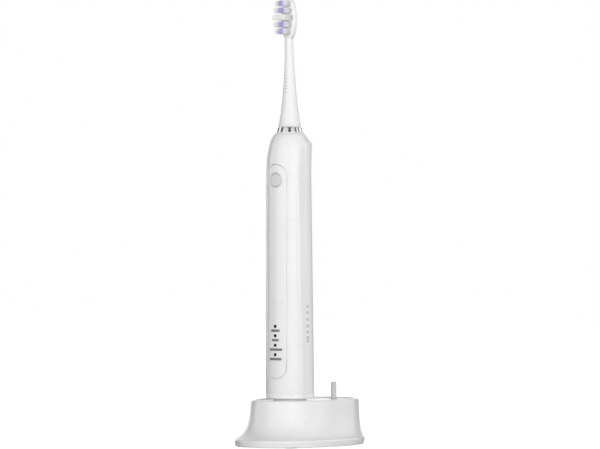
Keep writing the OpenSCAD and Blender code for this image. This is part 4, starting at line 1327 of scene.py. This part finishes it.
def add_bristles(name, rows, material, node):
    """Plants the tufts of the given rows as one piece."""
    roots, tips = [], []
    for row in rows:
        dz = row * row_pitch
        field_half = PLATE_HALF - TUFT_MARGIN
        room = field_half * math.sqrt(1 - (dz / (PLATE_LENGTH / 2 - TUFT_MARGIN)) ** 2) - TUFT_W / 2
        gaps = int(2 * room // TUFT_PITCH)
        for k in range(gaps + 1):
            root, tip = tuft_filaments(
                (k - gaps / 2) * TUFT_PITCH, row_middle + dz, bristle_length - 0.2 * abs(row))
            roots.append(root)
            tips.append(tip)
    seat = np.array([0, white_high[1] + 0.15, 0])
    points, quads, ends, along = filament_mesh(
        np.concatenate(roots) + seat, np.concatenate(tips) + seat)
    sides = outward(points, quads)
    ends = ends if sides is quads else ends[:, ::-1]
    mesh = bpy.data.meshes.new(name)
    mesh.from_pydata(points * MM, [], sides.tolist() + ends.tolist())
    mesh.attributes.new("along", "FLOAT", "POINT").data.foreach_set("value", along.astype(np.float32))
    mesh.shade_smooth()
    mesh.materials.append(material)
    piece = bpy.data.objects.new(name, mesh)
    bpy.context.scene.collection.objects.link(piece)
    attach(piece, "brush_head")
    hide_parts(node)


# The white stops rise towards the tips: painted light that offsets the shade between the filaments.
nylon_white = bristle_material(
    "nylon_white",
    [(0.0, (0.84, 0.83, 0.81)), (0.9, (0.92, 0.91, 0.89)), (1.0, (0.98, 0.97, 0.94))])
nylon_violet = bristle_material(
    "nylon_violet",
    [(0.0, (0.82, 0.82, 0.82)), (0.6, (0.86, 0.86, 0.87)), (0.72, (0.82, 0.79, 0.93)),
     (0.87, (0.76, 0.71, 0.93)), (0.94, (0.42, 0.38, 0.64)), (1.0, (0.54, 0.50, 0.78))],
    ([(0.0, (0.84, 0.84, 0.84)), (0.9, (0.88, 0.88, 0.89)), (1.0, (0.96, 0.96, 0.97))],
     -0.0024, 0.0020))
add_bristles("white_tufts", [0], nylon_white, "bristles_white")
add_bristles("violet_tufts", [-2, -1, 1, 2], nylon_violet, "bristles_violet")

# ---- materials of the pieces inside ----
# Drive, cell, boards and windings keep their CAD shapes and get the finish of the real part.


def ground_steel(name, colour, roughness):
    """Ground or drawn metal: upright streaks in tone, polish and height."""
    material, tree, shader, place = node_material(name)
    mapping = new_node(tree, "ShaderNodeMapping", {"Scale": (1, 1, 0.02)})
    tree.links.new(place, mapping.inputs["Vector"])
    streak = add_noise(tree, mapping.outputs["Vector"], 4000, 3)
    vary(tree, shader, streak, colour, 0.8, 1.0, (roughness * 0.7, roughness * 1.4))
    add_bump(tree, shader, streak, 0.3, 5e-6)
    shader.inputs["Metallic"].default_value = 1.0
    return material


def wound_wire(name, colour, pitch):
    """Enamelled wire in even turns: fine bands up the axis in height and tone, the tone darkened in the
    hollows between the turns as painted shade.
    """
    material, tree, shader, place = node_material(name)
    turns = new_node(
        tree, "ShaderNodeTexWave", {"Scale": 1 / (pitch * 3.2), "Distortion": 0.6},
        bands_direction="Z")
    tree.links.new(place, turns.inputs["Vector"])
    # Painted shade: the ramp darkens the wire to 0.45 in the hollows between turns.
    tree.links.new(
        add_ramp(tree, turns.outputs["Fac"], [(0.1, shade(colour, 0.45)), (0.7, colour)]),
        shader.inputs["Base Color"])
    add_bump(tree, shader, turns.outputs["Fac"], 0.8, pitch * 0.4)
    shader.inputs["Metallic"].default_value = 0.7
    shader.inputs["Roughness"].default_value = 0.3
    return material


def circuit_board(name, mask, track):
    """Green solder mask over copper tracks: square-ended tracks from a brick pattern, and weave."""
    material, tree, shader, place = node_material(name)
    tracks = new_node(tree, "ShaderNodeTexBrick", {
        "Scale": 260, "Mortar Size": 0.035, "Color1": (*mask, 1),
        "Color2": (*shade(mask, 1.12), 1), "Mortar": (*track, 1)})
    tree.links.new(place, tracks.inputs["Vector"])
    tree.links.new(tracks.outputs["Color"], shader.inputs["Base Color"])
    add_bump(tree, shader, add_noise(tree, place, 2000, 3), 0.3, 1e-5)
    shader.inputs["Roughness"].default_value = 0.35
    return material


def dull_ceramic(name, colour, metal=0.0):
    """Sintered or laminated part: grey speckle and a dull, gritty face."""
    material, tree, shader, place = node_material(name)
    grit = add_noise(tree, place, 3000, 5)
    vary(tree, shader, grit, colour, 0.7, 1.3, (0.55, 0.8))
    add_bump(tree, shader, grit, 0.4, 1.2e-5)
    shader.inputs["Metallic"].default_value = metal
    return material


def shrink_wrap(name, colour, band):
    """Glossy film round a cell: one colour with a pale band near the top, and faint wrinkles."""
    material, tree, shader, place = node_material(name)
    split = new_node(tree, "ShaderNodeSeparateXYZ")
    tree.links.new(place, split.inputs["Vector"])
    low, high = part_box("battery")
    height = new_node(tree, "ShaderNodeMapRange", {"From Min": low[2], "From Max": high[2]})
    tree.links.new(split.outputs["Z"], height.inputs["Value"])
    bands = [(0.0, colour), (0.86, band), (0.97, (0.6, 0.6, 0.6))]
    tree.links.new(
        add_ramp(tree, height.outputs["Result"], bands, "CONSTANT"), shader.inputs["Base Color"])
    tree.links.new(add_range(tree, add_noise(tree, place, 300, 3), 0.2, 0.4), shader.inputs["Roughness"])
    add_bump(tree, shader, add_noise(tree, place, 500, 2), 0.3, 2e-5)
    return material


finishes = {
    "gloss_white": gloss_white,
    "satin_white": satin_white,
    "casing_grey": casing_grey,
    "peg_grey": peg_grey,
    "rubber_grey": rubber_grey,
    "rubber_black": rubber("seal_black_rubber", (0.02, 0.02, 0.02)),
    "bright_chrome": chrome,
    "steel": ground_steel("ground_steel", (0.52, 0.52, 0.53), 0.28),
    "natural_nylon": moulded_plastic("natural_nylon", (0.72, 0.67, 0.52), 0.4),
    "copper_wire": wound_wire("enamelled_copper", (0.60, 0.22, 0.08), 0.0003),
    "ferrite": dull_ceramic("sintered_ferrite", (0.02, 0.02, 0.022)),
    "laminated_iron": dull_ceramic("stacked_laminations", (0.16, 0.16, 0.18), 0.6),
    "magnet_nickel": ground_steel("nickel_plate", (0.6, 0.58, 0.54), 0.22),
    "bearing_bronze": dull_ceramic("sintered_bronze", (0.42, 0.22, 0.07), 0.8),
    "circuit_board": circuit_board("solder_mask_board", (0.01, 0.10, 0.04), (0.06, 0.22, 0.07)),
    "chip_black": moulded_plastic("moulded_epoxy", (0.02, 0.02, 0.022), 0.55),
    "can_sleeve": moulded_plastic("can_sleeve", (0.02, 0.03, 0.08), 0.3),
    "cell_wrap": shrink_wrap("cell_film", (0.05, 0.28, 0.12), (0.7, 0.72, 0.7)),
    "nickel_strip": ground_steel("rolled_nickel", (0.6, 0.59, 0.56), 0.3),
    "led_package": moulded_plastic("clear_resin_package", (0.78, 0.74, 0.55), 0.25),
    "lens_dark": lens_dark,
    "bristle_white": nylon_white,
    "bristle_violet": nylon_violet,
}
for subpart in frame["record"]["subparts"]:
    material_slots = nodes[subpart["node"]].data.materials
    for index in range(len(material_slots)):
        material_slots[index] = finishes[subpart["material_slot"]]
    if len(material_slots) == 0:
        material_slots.append(finishes[subpart["material_slot"]])
